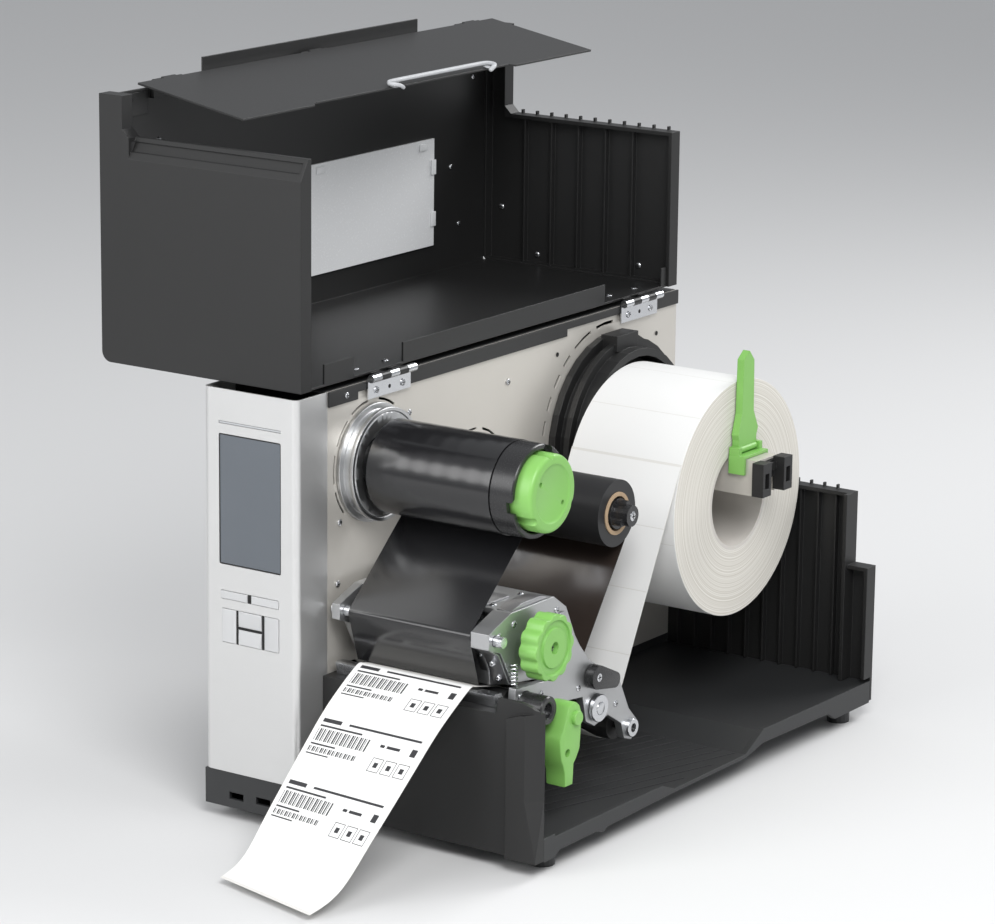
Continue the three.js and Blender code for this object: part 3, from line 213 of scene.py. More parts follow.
bm = bmesh.new()
slant = math.tan(math.radians(18))
rib_width, tray_left, tray_right = 1.1, 96, 266
for i in range(13):
    y0, y1 = 150 - i * 7, 306
    x1 = 140 + i * 12.5
    x0 = x1 - (y1 - y0) * slant
    if x1 > tray_right:
        y1 -= (x1 - tray_right) / slant
        x1 = tray_right
    if x0 < tray_left:
        y0 += (tray_left - x0) / slant
        x0 = tray_left
    outline = [(x0, y0), (x0 + rib_width, y0), (x1 + rib_width, y1), (x1, y1)]
    add_slab(bm, outline, 8.5, 9.1, axis="z")
piece("tray_ribs", bm, tray_black, "chassis", "dark_moulding")

# ---- Centre wall: satin silver-beige sheet with the drive and electronics behind it ----
# Painted sheet steel with a very fine grain and a satin sheen, and bright pan-head screws
# along its top and front.
satin_wall = coated("satin_wall", (0.60, 0.575, 0.53), 0.36, metal=0.45, peel=1600.0, cloud=0.05, edge=0.0004)
dress(satin_wall, "centre_wall")


def add_screw(bm, spot, radius=2.6, height=1.2, axis="x", sign=1, slots=2, index=0, dark=1):
    """A domed screw head on a face square to the axis, with its cross or slot drawn near-black as painted shade.
    """
    along = {"x": 0, "y": 1, "z": 2}[axis]
    base = spot[along]
    centre = [c for i, c in enumerate(spot) if i != along]
    profile = [(base, radius), (base + sign * height * 0.45, radius),
               (base + sign * height * 0.85, radius * 0.8),
               (base + sign * height, radius * 0.45), (base + sign * height, 0)]
    add_turned(bm, profile, centre, axis=axis, sides=32, index=index)
    for i in range(slots):
        long, short = radius * 0.62, radius * 0.13
        spans = [(long, short), (short, long)][i]
        low, high = sorted((base + sign * height * 0.7, base + sign * (height + 0.04)))
        limits = [[low, high] if k == along else None for k in range(3)]
        rest = iter(zip(centre, spans))
        for k in range(3):
            if limits[k] is None:
                c, s = next(rest)
                limits[k] = [c - s, c + s]
        add_box(bm, *limits[0], *limits[1], *limits[2], index=dark)


bm = bmesh.new()
for y, z in [(50, 213.8), (47.8, 168.4), (134.6, 279.1), (262, 279), (470, 120), (300, 60), (480, 60)]:
    add_screw(bm, (84.3, y, z), radius=2.4)
# Three thin near-black discs on the wall are painted shade.
for y, z in [(470.7, 281.2), (328.9, 288.4), (318, 96)]:
    add_turned(bm, [(84.35, 0), (84.35, 1.8), (84.5, 1.8), (84.5, 0)], (y, z), sides=24, index=1)
piece("wall_screws", bm, steel, "chassis", "polished_steel", parts=[shadow])

# ---- Front panel: brushed aluminium wrapped round the control side's front edge ----
# A thin sheet with its grain running across, bent round two 5 mm corners. The screen, the
# light bar and the keys show through cut-outs.
brushed = coated("brushed_aluminium", (0.70, 0.70, 0.695), 0.4, metal=0.85, peel=60.0, depth=0.00003,
                 cloud=0.03, edge=0.0003, stretch=(1, 1, 60))
dress(brushed, "front_panel")

# ---- Screen and light bar: slate-grey glass and a translucent strip ----
# The screen is off: a dark slate glass with a soft reflection, in a thin near-black frame of painted shade.
slate = coated("slate_glass", (0.085, 0.098, 0.115), 0.16, peel=25.0, depth=0.0, cloud=0.1, edge=0.0003,
               coat=0.6)
dress(slate, "display_module")
strip_white = coated("light_bar", (0.42, 0.43, 0.44), 0.3, peel=300.0, cloud=0.05, edge=0.0002)
dress(strip_white, "indicator_strip")
# A thin near-black frame just inside the screen's cut-out: painted shade.
bm = bmesh.new()
for x0, x1, z0, z1 in [(14.3, 14.9, 183.1, 279.1), (68.9, 69.5, 183.1, 279.1), (14.3, 69.5, 183.1, 183.8),
                       (14.3, 69.5, 278.4, 279.1)]:
    add_box(bm, x0, x1, 0.4, 0.5, z0, z1)
piece("screen_rim_shade", bm, shadow, "chassis", "screen_glass")

# ---- Keys: silver moulded caps with painted shade in the gaps between them ----
# Satin silver caps with rounded edges. The two in the middle slope to each other, and narrow
# near-black strips of painted shade fill the gaps between them.
silver = coated("silver_key", (0.62, 0.625, 0.63), 0.34, metal=0.6, peel=1400.0, cloud=0.04, edge=0.0004)
keys = {"menu_key_left": (15.7, 39.7, 157.4, 163.4), "menu_key_right": (43.3, 67.6, 157.4, 163.4),
        "cancel_key": (16.6, 29.2, 125, 150), "enter_key": (55, 67.8, 125, 150),
        "up_key": (31.6, 52.4, 138.5, 150), "down_key": (31.6, 52.4, 125, 136.2)}
for name, (x0, x1, z0, z1) in keys.items():
    bm = bmesh.new()
    slope = {"up_key": (0, 0, 3.2, 0), "down_key": (0, 0, 0, 3.2), "cancel_key": (0, 3.4, 0, 0),
             "enter_key": (2.6, 0, 0, 0)}.get(name, (0, 0, 0, 0))
    back = [bm.verts.new(at(x, 1.7, z)) for x, z in ((x0, z0), (x1, z0), (x1, z1), (x0, z1))]
    middle = [bm.verts.new(at(x, -0.15, z)) for x, z in ((x0, z0), (x1, z0), (x1, z1), (x0, z1))]
    x2, x3, z2, z3 = x0 + 0.3 + slope[0], x1 - 0.3 - slope[1], z0 + 0.3 + slope[2], z1 - 0.3 - slope[3]
    front = [bm.verts.new(at(x, -0.78, z)) for x, z in ((x2, z2), (x3, z2), (x3, z3), (x2, z3))]
    bm.faces.new(back)
    bm.faces.new(front)
    for low, high in ((back, middle), (middle, front)):
        for i in range(4):
            bm.faces.new((low[i], low[(i + 1) % 4], high[(i + 1) % 4], high[i]))
    cap = piece(name + "_cap", bm, silver, name + "_body", "silver_key", smooth=20)
    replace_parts(cap, name)
# Near-black strips in the gaps between the keys: painted shade.
bm = bmesh.new()
for x0, x1, z0, z1 in [(29.5, 31.3, 124.7, 150.3), (52.7, 54.7, 124.7, 150.3), (31.3, 52.7, 136.5, 138.2),
                       (40.0, 43.0, 157.1, 163.7)]:
    add_box(bm, x0, x1, -0.06, 0.1, z0, z1)
piece("key_gap_shade", bm, shadow, "chassis", "brushed_front")

# ---- Inside the electronics bay: board, supply, motor, pulleys and belt ----
# Hidden by the shell in most views, so their finishes are simple: green solder mask, plated
# steel cans and black rubber.
mask_green = coated("solder_mask", (0.02, 0.10, 0.05), 0.35, peel=500.0, cloud=0.25, edge=0.0003)
dress(mask_green, "main_board")
plated = coated("plated_can", (0.45, 0.45, 0.46), 0.36, metal=1.0, peel=700.0, cloud=0.08, edge=0.0005)
dress(plated, "power_supply", "feed_motor")
rubber = coated("black_rubber", (0.014, 0.014, 0.014), 0.72, peel=1500.0, depth=0.00006, edge=0.0003)
dress(rubber, "timing_belt", "platen_rubber")
dress(steel, "motor_pulley", "platen_shaft", "media_guide_shaft",
      "ribbon_rest_bar", "ribbon_front_bar", "tear_bar", "hinge_leaf_front", "hinge_leaf_rear")

# ---- Cover window: milky clear pane in the cover's far wall ----
# Moulded in a frosted clear plastic, snapped into its opening from inside by small hooks.
frosted = coated("frosted_pane", (0.74, 0.75, 0.76), 0.26, peel=700.0, depth=0.000004, cloud=0.03,
                 edge=0.0004, coat=0.3)
dress(frosted, "cover_window")
bm = bmesh.new()
for y in (262, 398):
    add_box(bm, -93.6, -92.4, y - 5, y + 5, 419, 424.5, bevel=0.3)
for z in (362, 404):
    add_box(bm, -93.6, -92.4, 409, 415, z - 6, z + 6, bevel=0.3)
piece("window_hooks", bm, frosted, "cover", "clear_plastic")

# ---- Screws of the cover and its two hinges: bright pan heads ----
# The same plated screws as on the wall. Each hinge leaf has two, with a rivet hole between them.
hinge_starts = (79, 413)
bm = bmesh.new()
for y, z in [(440, 400), (452, 352), (70, 470), (70, 340), (470, 470)]:
    add_screw(bm, (-96.0, y, z), radius=2.2)
for x, z in [(49.5, 327.8), (-48.8, 325.2), (-84.5, 361)]:
    add_screw(bm, (x, 496.9, z), radius=2.4, axis="y", sign=-1)
for y0 in hinge_starts:
    for y in (y0 + 9, y0 + 45):
        add_screw(bm, (70, y, 317.6), radius=2.6, axis="z")
piece("cover_screws", bm, steel, "cover", "polished_steel", parts=[shadow])

# Each hinge's rivet hole is a thin near-black disc: painted shade.
bm = bmesh.new()
for y0 in hinge_starts:
    for y in (y0 + 11, y0 + 43):
        add_screw(bm, (87.4, y, 304.5), radius=2.6)
    add_turned(bm, [(87.42, 0), (87.42, 1.5), (87.5, 1.5), (87.5, 0)], (y0 + 27, 304.5), sides=24, index=1)
add_screw(bm, (86.0, 56, 306.5), radius=2.2)
piece("hinge_screws", bm, steel, "chassis", "polished_steel", parts=[shadow])

# ---- Handle on the flap: light grey moulding ----
# A rounded rod along the flap's free edge. Its ends curl back to the edge, and each stands on a
# small foot that clips to the sheet.
handle_grey = coated("handle_grey", (0.46, 0.47, 0.485), 0.36, peel=1600.0, cloud=0.04, edge=0.001)


def on_flap(x, y, z):
    """A place on the flap from its pin, as it slopes down by 10 degrees."""
    c, s = math.cos(math.radians(10)), math.sin(math.radians(10))
    return at(-92.3 + x * c + z * s, y, 514 - x * s + z * c)


spine = [(102.4, 230, 2.6), (102.6, 227, 5.0), (101.8, 222.5, 6.4), (99, 219.2, 6.3), (95.6, 219, 6.2),
         (93.4, 222, 6.2), (92.9, 228, 6.2), (92.8, 240, 6.2), (92.8, 286, 6.2)]
spine += [(x, 2 * 286 - y, z) for x, y, z in reversed(spine[:-1])]
sides, half_wide, half_high, squareness = 16, 1.7, 1.5, 0.6
bm = bmesh.new()
rings = []
for i, p in enumerate(spine):
    a, b = Vector(spine[max(i - 1, 0)]), Vector(spine[min(i + 1, len(spine) - 1)])
    heading = (b - a).normalized()
    side = heading.cross(Vector((0, 0, 1)))
    side = side.normalized() if side.length > 0.2 else Vector((0, 1, 0))
    over = side.cross(heading).normalized()
    ring = []
    for k in range(sides):
        angle = 2 * math.pi * k / sides
        u, v = math.cos(angle), math.sin(angle)
        u = math.copysign(abs(u) ** squareness, u) * half_wide
        v = math.copysign(abs(v) ** squareness, v) * half_high
        ring.append(bm.verts.new(on_flap(*(Vector(p) + side * u + over * v))))
    rings.append(ring)
for a, b in zip(rings, rings[1:]):
    for k in range(sides):
        bm.faces.new((a[k], a[(k + 1) % sides], b[(k + 1) % sides], b[k]))
bm.faces.new(rings[0])
bm.faces.new(rings[-1])
for y0 in (219, 343):
    foot = ((91.5, y0), (103.2, y0), (103.2, y0 + 10), (91.5, y0 + 10))
    corners = [on_flap(x, y, z) for z in (3.3, 4.6) for x, y in foot]
    v = [bm.verts.new(c) for c in corners]
    for f in ((0, 1, 2, 3), (4, 5, 6, 7), (0, 1, 5, 4), (1, 2, 6, 5), (2, 3, 7, 6), (3, 0, 4, 7)):
        bm.faces.new([v[i] for i in f])
grip = piece("handle_grip", bm, handle_grey, "flap", "grey_plastic", smooth=45)
step = grip.modifiers.new("rounded", "SUBSURF")
step.levels = step.render_levels = 1
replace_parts(grip, "flap_handle")

# ---- Ribbon rewind: black film on a black spindle, with spun flanges, a tube end and a green cap ----
# Each spool has a turned aluminium flange standing on the centre wall behind it.
# The film is wound tight, with faint steps between its turns and a long soft highlight. The
# tube end has three notches and the cap two holes and three notches round a rounded rim.
film = coated("ribbon_film", (0.010, 0.010, 0.011), 0.2, peel=240.0, depth=0.00002, cloud=0.1,
              edge=0.0001, stretch=(30, 1, 1), coat=0.35)
film_side = coated("ribbon_side", (0.016, 0.016, 0.017), 0.45, peel=2000.0, cloud=0.15, edge=0.0001)
satin_black = coated("satin_black", (0.018, 0.018, 0.019), 0.26, peel=1200.0, cloud=0.06, edge=0.0004)
green = coated("green_moulding", (0.205, 0.46, 0.105), 0.38, peel=1300.0, depth=0.00003, cloud=0.06,
               edge=0.0008)
dress(green, "guard_slider", "guard_lever")
dress(satin_black, "supply_spindle")
spun = coated("spun_aluminium", (0.58, 0.585, 0.59), 0.36, metal=1.0, peel=380.0, depth=0.00002, cloud=0.06,
              edge=0.0004)
rewind_axis, supply_axis = (89.5, 251), (218.5, 205.5)


def around(centre, radius, degrees):
    turn = math.radians(degrees)
    return centre[0] + radius * math.cos(turn), centre[1] + radius * math.sin(turn)


def carve(made, cutter_mesh):
    mesh = bpy.data.meshes.new("cutter")
    bmesh.ops.recalc_face_normals(cutter_mesh, faces=cutter_mesh.faces)
    cutter_mesh.to_mesh(mesh)
    cutter_mesh.free()
    cutter = bpy.data.objects.new("cutter", mesh)
    bpy.context.scene.collection.objects.link(cutter)
    step = made.modifiers.new("carve", "BOOLEAN")
    step.object = cutter
    step.solver = "EXACT"
    result = bpy.data.meshes.new_from_object(made.evaluated_get(bpy.context.evaluated_depsgraph_get()))
    made.modifiers.clear()
    made.data = result
    made.data.shade_smooth()
    made.data.set_sharp_from_angle(angle=math.radians(35))
    bpy.data.objects.remove(cutter)
    return made


for name, centre, outer, depth, bore in [("rewind_flange", rewind_axis, 43.7, 13, 20.3),
                                         ("supply_flange", supply_axis, 42, 12, 11.8)]:
    bm = bmesh.new()
    add_turned(bm, [(84.6, bore), (84.6, outer - 0.3), (84.9, outer), (87, outer), (87.3, outer - 0.4),
                    (87.3, outer - 4.2), (87.8, outer - 4.9), (80.8 + depth, outer - 5),
                    (81 + depth, outer - 2.2),
                    (81.3 + depth, outer - 2), (84 + depth, outer - 2), (84.3 + depth, outer - 2.4),
                    (84.3 + depth, outer - 4.6), (83.6 + depth, outer - 5.2), (84.3 + depth, outer - 6.2),
                    (84.3 + depth, bore + 9.6), (83.8 + depth, bore + 9), (90.3, bore + 9), (90.3, bore)],
               centre, sides=128, closed=True)
    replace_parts(piece(name + "_turned", bm, spun, "chassis", "polished_steel"), name)

bm = bmesh.new()
steps = 26
outer = [(104 + 106 * i / steps, 34.5 - 0.12 * (0.5 + 0.5 * math.sin(i * 1.7))) for i in range(steps + 1)]
add_turned(bm, [(104, 30.4), *outer, (210, 30.4)], rewind_axis, closed=True)
roll = piece("rewind_roll_film", bm, film, "rewind", "ribbon_film")
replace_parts(roll, "rewind_ribbon_roll")

bm = bmesh.new()
add_turned(bm, [(84.7, 0), (84.7, 20), (103.5, 20), (103.5, 30), (210.3, 30), (210.3, 33.4), (211, 34),
                (229, 34), (229.9, 33.2), (229.9, 30.6), (229.2, 30), (216, 30), (216, 0)], rewind_axis)
spindle = piece("rewind_tube", bm, satin_black, "rewind", "dark_moulding")
bm = bmesh.new()
for degrees in (70, 190, 310):
    add_turned(bm, [(225, 0), (225, 5.5), (232, 5.5), (232, 0)], around(rewind_axis, 30, degrees), sides=32)
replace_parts(carve(spindle, bm), "rewind_spindle")

bm = bmesh.new()
rim = [(238.8 + 3.2 * math.sin(math.radians(a)), 25.3 + 3.2 * math.cos(math.radians(a)))
       for a in range(0, 91, 15)]
dish = [(242, 21.5), (241.2, 20.6), (240.6, 19.5), (240.6, 0)]
add_turned(bm, [(216.3, 0), (216.3, 28), (216.8, 28.5), *rim, *dish], rewind_axis, sides=128)
cap = piece("rewind_cap_moulding", bm, green, "rewind", "green_plastic")
bm = bmesh.new()
for degrees in (95, 215, 335):
    add_turned(bm, [(215, 0), (215, 4), (244, 4), (244, 0)], around(rewind_axis, 29.5, degrees), sides=32)
for side in (-1, 1):
    hole = (rewind_axis[0] + side * 14, rewind_axis[1] - side * 9)
    add_turned(bm, [(234, 0), (234, 1.8), (244, 1.8), (244, 0)], hole, sides=24)
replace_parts(carve(cap, bm), "rewind_cap")

# ---- Ribbon supply: matte black film on a tan core over a black three-lobed spindle ----
# A fresh small roll. The core stands just proud of the film and the spindle's end has a cross
# screw in its middle.
tan_card = coated("tan_card", (0.42, 0.30, 0.19), 0.75, peel=700.0, cloud=0.15, edge=0.0002)
bm = bmesh.new()
outer = [(104 + 108 * i / steps, 25.2 - 0.1 * (0.5 + 0.5 * math.sin(i * 2.3))) for i in range(steps + 1)]
add_turned(bm, [(104, 16.1), *outer, (212, 16.1)], supply_axis, closed=True)
add_turned(bm, [(104, 13), (104, 16.05), (212.9, 16.05), (212.9, 13)], supply_axis, closed=True, index=1)
roll = piece("supply_roll_film", bm, film_side, "supply", "ribbon_film", parts=[tan_card])
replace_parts(roll, "supply_ribbon_roll")
bm = bmesh.new()
add_screw(bm, (226, *supply_axis), radius=3.6, height=0.9)
piece("supply_screw", bm, steel, "supply", "polished_steel", parts=[shadow])

# ---- Media roll, label web and printed strip: white labels on a thin liner ----
# The roll is wound on a grey-brown card core and its end shows fine rings. The web runs down from
# the roll, under the tension roller, over the platen and out over the tear bar as a long strip.
paper = coated("label_paper", (0.80, 0.80, 0.79), 0.46, peel=900.0, depth=0.00002, cloud=0.015, edge=0.0001)
liner = coated("liner_paper", (0.70, 0.69, 0.66), 0.4, peel=900.0, depth=0.00002, cloud=0.03, edge=0.0001)
ink = coated("label_ink", (0.03, 0.03, 0.033), 0.5, peel=1500.0, cloud=0.1, edge=0.0001)
media_axis = (391.5, 182.2)
web_left, web_right = 112.5, 211.5
label_left, label_right = 113.0, 211.0


def ringed(name, low, high, centre, pitch):
    """Paper seen edge on: fine rings about an axis along x."""
    material = coated(name, high, 0.7, peel=1400.0, cloud=0.03, edge=0.0001)
    nodes, links = material.node_tree.nodes, material.node_tree.links
    place = nodes.new("ShaderNodeTexCoord")
    shift = nodes.new("ShaderNodeMapping")
    shift.inputs["Location"].default_value = (0, -centre.y, -centre.z)
    shift.inputs["Scale"].default_value = (0, 1, 1)
    links.new(place.outputs["Object"], shift.inputs["Vector"])
    far = nodes.new("ShaderNodeVectorMath")
    far.operation = "LENGTH"
    links.new(shift.outputs["Vector"], far.inputs[0])
    rings = nodes.new("ShaderNodeTexNoise")
    rings.noise_dimensions = "1D"
    rings.inputs["Scale"].default_value = pitch
    rings.inputs["Detail"].default_value = 4.0
    links.new(far.outputs["Value"], rings.inputs["W"])
    spread = nodes.new("ShaderNodeMapRange")
    spread.inputs["From Min"].default_value = 0.35
    spread.inputs["From Max"].default_value = 0.65
    links.new(rings.outputs["Fac"], spread.inputs["Value"])
    tint = nodes.new("ShaderNodeMix")
    tint.data_type = "RGBA"
    tint.inputs[6].default_value = [*low, 1]
    tint.inputs[7].default_value = [*high, 1]
    links.new(spread.outputs["Result"], tint.inputs[0])
    links.new(tint.outputs[2], nodes["Principled BSDF"].inputs["Base Color"])
    return material


roll_end = ringed("roll_end_paper", (0.56, 0.53, 0.47), (0.74, 0.72, 0.67), at(0, *media_axis), 900.0)
bm = bmesh.new()
add_turned(bm, [(web_left, 41.1), (web_left, 92.3), (112.7, 92.5), (211.3, 92.5), (web_right, 92.3),
                (web_right, 41.1)], media_axis, sides=192, closed=True)
bm.normal_update()
for f in bm.faces:
    f.material_index = 1 if abs(f.normal.x) > 0.9 else 0
add_turned(bm, [(112.6, 38.1), (112.6, 41.05), (211.4, 41.05), (211.4, 38.1)], media_axis, sides=128,
           closed=True, index=2)
core_card = coated("core_card", (0.60, 0.57, 0.53), 0.7, peel=700.0, cloud=0.1, edge=0.0002)
roll = piece("media_roll_paper", bm, paper, "media", "label_paper", parts=[roll_end, core_card])
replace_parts(roll, "media_roll")


def touching(a, radius_a, b, radius_b, crossed, side):
    """Where a straight web leaves circle a and meets circle b, and the angle of its normal."""
    reach = radius_a - (-radius_b if crossed else radius_b)
    turn = math.atan2(b[1] - a[1], b[0] - a[0]) + side * math.acos(reach / math.dist(a, b))
    flip = -1 if crossed else 1
    leave = (a[0] + radius_a * math.cos(turn), a[1] + radius_a * math.sin(turn))
    meet = (b[0] + flip * radius_b * math.cos(turn), b[1] + flip * radius_b * math.sin(turn))
    return leave, meet, turn


def bend(centre, radius, start, end, steps=24):
    turn = (start - end) % (2 * math.pi)
    return [(centre[0] + radius * math.cos(start - turn * i / steps),
             centre[1] + radius * math.sin(start - turn * i / steps)) for i in range(steps + 1)]


def smooth_curve(points, per=14):
    """A Catmull-Rom curve through the points."""
    made = []
    for i in range(len(points) - 1):
        p = [points[max(i - 1, 0)], points[i], points[i + 1], points[min(i + 2, len(points) - 1)]]
        for k in range(per):
            t = k / per
            made.append(tuple(0.5 * (2 * p[1][d] + (p[2][d] - p[0][d]) * t
                                     + (2 * p[0][d] - 5 * p[1][d] + 4 * p[2][d] - p[3][d]) * t * t
                                     + (3 * p[1][d] - p[0][d] - 3 * p[2][d] + p[3][d]) * t ** 3)
                              for d in (0, 1)))
    return made + [points[-1]]


def ribbon_along(bm, path, x0, x1, half, lift=0.0, index=0, columns=1):
    """A thin web along a line of (y, z) points, lifted off it along its normal."""
    rows = []
    for i, p in enumerate(path):
        a, b = path[max(i - 1, 0)], path[min(i + 1, len(path) - 1)]
        length = math.dist(a, b) or 1
        normal = (-(b[1] - a[1]) / length, (b[0] - a[0]) / length)
        row = []
        for offset in (lift - half, lift + half):
            for k in range(columns + 1):
                x = x0 + (x1 - x0) * k / columns
                row.append(bm.verts.new(at(x, p[0] + normal[0] * offset, p[1] + normal[1] * offset)))
        rows.append(row)
    n = columns + 1
    for a, b in zip(rows, rows[1:]):
        for k in range(columns):
            bm.faces.new((a[k], a[k + 1], b[k + 1], b[k])).material_index = index
            bm.faces.new((a[n + k], b[n + k], b[n + k + 1], a[n + k + 1])).material_index = index
        bm.faces.new((a[0], b[0], b[n], a[n])).material_index = index
        bm.faces.new((a[n - 1], a[-1], b[-1], b[n - 1])).material_index = index
    for row in (rows[0], rows[-1]):
        bm.faces.new((*row[:n], *reversed(row[n:]))).material_index = index


tear_y = 40


def swing(bm):
    """In front of the tear bar the strip swings towards the control side, its far corner leading."""
    for v in bm.verts:
        x, y = v.co.x * 1000 + origin_x - web_left, v.co.y * 1000 + origin_y
        share = max(tear_y - y, 0) / 152
        turned = math.radians(14) * share ** 2
        v.co.x = (web_left + x * math.cos(turned) - 10 * share ** 2 - origin_x) / 1000
        v.co.y = (y - x * math.sin(turned) - origin_y) / 1000


platen_axis, tension_axis, platen_reach = (67, 100), (206, 49), 10.0
exit_turn = math.radians(77)
out = around(platen_axis, platen_reach, 77)
fall = -1 / math.tan(exit_turn)
edge_z = out[1] + (tear_y - out[0]) * fall
down = touching(media_axis, 93.0, tension_axis, 12.5, True, -1)
forward = touching(tension_axis, 12.5, platen_axis, platen_reach, True, 1)
to_roller = [down[0], *bend(tension_axis, 12.5, down[2] - math.pi, forward[2])]
turn = (exit_turn - forward[2] + math.pi) % (2 * math.pi)
over = [around(platen_axis, platen_reach, math.degrees(forward[2] - math.pi + turn * i / 10)) for i in range(11)]
strip = smooth_curve([(tear_y, edge_z), (31, edge_z - 1.2), (0, 95.3), (-28, 69.8), (-61, 35.9), (-84, 10),
                      (-97, 0.5), (-112, -4.5)])
bm = bmesh.new()
ribbon_along(bm, to_roller + over + strip, web_left, web_right, 0.08, columns=6)
swing(bm)
web = piece("label_liner", bm, liner, "chassis", "label_paper", smooth=60)
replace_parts(web, "label_web")


def along(path, start, end):
    """The part of a line of points between two distances from its first point."""
    made, gone = [], 0.0
    for a, b in zip(path, path[1:]):
        length = math.dist(a, b)
        for wanted in (start, end):
            if gone <= wanted < gone + length and (wanted == end or not made):
                t = (wanted - gone) / length
                made.append((a[0] + (b[0] - a[0]) * t, a[1] + (b[1] - a[1]) * t))
        gone += length
        if start < gone < end:
            made.append(b)
    return made


# The labels stand a hair proud of the liner. Print on them is plain bars of no meaning.
bm = bmesh.new()
labels = [(2.0, 53.0), (53.8, 104.8), (105.6, 156.6), (157.4, 196.0)]
for start, end in labels:
    ribbon_along(bm, along(strip, start, end), label_left, label_right, 0.05, lift=-0.14, columns=6)
for k in range(5):
    ribbon_along(bm, along(to_roller, 2 + 49 * k, 50.4 + 49 * k), label_left, label_right, 0.05, lift=-0.14)
swing(bm)
piece("label_faces", bm, paper, "chassis", "label_paper", smooth=60)
bm = bmesh.new()
for angle in (96, 128, 160, 192):
    arc = [around(media_axis, 92.5, angle + k * 0.1) for k in range(4)]
    ribbon_along(bm, arc, label_left, label_right, 0.03)
piece("roll_label_gaps", bm, liner, "media", "label_paper")
bm = bmesh.new()
lines = [(4, 7.2, 0.03, 0.20), (4.6, 6.4, 0.27, 0.94), (9.5, 11.0, 0.03, 0.42), (24.5, 25.8, 0.03, 0.26),
         (32.5, 33.5, 0.03, 0.24)]
frames = [(0.62, 0.72), (0.74, 0.84), (0.86, 0.96)]
print_left, print_width = 114, 96


def add_bar(bm, low, high, x0, x1):
    """One printed bar across the strip, between two distances along it."""
    ribbon_along(bm, along(strip, low, high), x0, x1, 0.02, lift=-0.2)


for start, _ in labels[:3]:
    for a, b, left, right in lines:
        add_bar(bm, start + a, start + b, print_left + print_width * left, print_left + print_width * right)
    for k, (low, high) in enumerate([(12.5, 22.5), (27.2, 31.2)]):
        for i in range(26 - 2 * k):
            x = 117 + i * 1.8
            width = (0.5, 1.1, 0.8, 1.3)[(i * 7 + k) % 4]
            add_bar(bm, start + low, start + high, x, x + width)
    for left, right in frames:
        x0, x1 = print_left + print_width * left, print_left + print_width * right
        for a, b, c, d in [(24.5, 25.0, x0, x1), (35.0, 35.5, x0, x1), (24.5, 35.5, x0, x0 + 0.5),
                           (24.5, 35.5, x1 - 0.5, x1), (28, 32, x0 + 3, x1 - 3)]:
            add_bar(bm, start + a, start + b, c, d)
    for a, b, left, right in [(14, 16.2, 0.62, 0.66), (14, 16.2, 0.68, 0.80), (12, 18, 0.90, 0.95)]:
        add_bar(bm, start + a, start + b, print_left + print_width * left, print_left + print_width * right)
swing(bm)
piece("label_print", bm, ink, "chassis", "label_paper", smooth=60)

# ---- Ribbon webs: thin glossy film between the spools and the print head ----
# Behind the head the film is brownish black where light comes through it. In front it runs up
# over the steel bar to the rewind spool.
brown_film = coated("ribbon_web_film", (0.035, 0.026, 0.022), 0.14, peel=200.0, depth=0.00002, cloud=0.2,
                    edge=0.0001, coat=0.4)
rest_axis, bar_axis = (168, 96.5), (39, 153)
film_left, film_right = 104, 210
down = touching(supply_axis, 25.7, rest_axis, 4.5, False, 1)
forward = touching(rest_axis, 4.5, platen_axis, 10.7, True, 1)
bm = bmesh.new()
rear_path = [down[0], *bend(rest_axis, 4.5, down[2], forward[2], 12), forward[1]]
ribbon_along(bm, rear_path, film_left, film_right, 0.05)
rear_film = piece("ribbon_rear_film", bm, brown_film, "chassis", "ribbon_film", smooth=60)
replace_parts(rear_film, "ribbon_rear_web")
peel = (46, edge_z + 6 * fall + 1.0)
start = (67.6, out[1] + (67.6 - out[0]) * fall + 0.7)
rise = touching(peel, 0.001, bar_axis, 4.5, False, 1)
upper = touching(bar_axis, 4.5, rewind_axis, 34.9, True, 1)
wrap = bend(bar_axis, 4.5, rise[2], upper[2], 14)
bm = bmesh.new()
ribbon_along(bm, [start, peel, *wrap], film_left, film_right, 0.05)
lower_film = piece("ribbon_front_film", bm, film, "head", "ribbon_film", smooth=60)
rise_to = [(wrap[-1][0] + (upper[1][0] - wrap[-1][0]) * i / 16,
            wrap[-1][1] + (upper[1][1] - wrap[-1][1]) * i / 16) for i in range(17)]
bm = bmesh.new()
ribbon_along(bm, rise_to, film_left, film_right, 0.05, columns=4)
rising = piece("ribbon_rising_film", bm, film, "head", "ribbon_film", smooth=60)
rising.parent = None
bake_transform(rising)
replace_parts(lower_film, "ribbon_front_web")

# ---- Shafts, bush and black link at the free end of the feed path ----
# A polished steel guide shaft with a turned flange, a black bush round the platen's journal,
# and a black link with a recessed screw over the head's pivot.
bm = bmesh.new()
add_turned(bm, [(84.7, 0), (84.7, 5), (235.4, 5), (235.4, 9.8), (235.9, 10.4), (238.5, 10.4), (239, 9.9),
                (239, 5), (239.4, 4.8), (239.8, 4), (239.8, 0)], (160, 75.6), sides=64)
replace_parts(piece("guide_shaft_turned", bm, steel, "chassis", "polished_steel"), "media_guide_shaft")
bm = bmesh.new()
add_turned(bm, [(226, 5.4), (226, 10.5), (254.8, 10.5), (255.8, 9.6), (255.8, 6.6), (254.8, 5.4)], platen_axis,
           sides=64, closed=True)
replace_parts(piece("bush_turned", bm, satin_black, "chassis", "dark_moulding"), "platen_bush")
pivot, tip = (152, 101.5), (174, 94.5)
bm = bmesh.new()
add_turned(bm, [(84.5, 0), (84.5, 4), (236.5, 4), (236.5, 0)], pivot, sides=32)
first = touching(pivot, 9, tip, 6, False, 1)[2]
other = touching(pivot, 9, tip, 6, False, -1)[2]
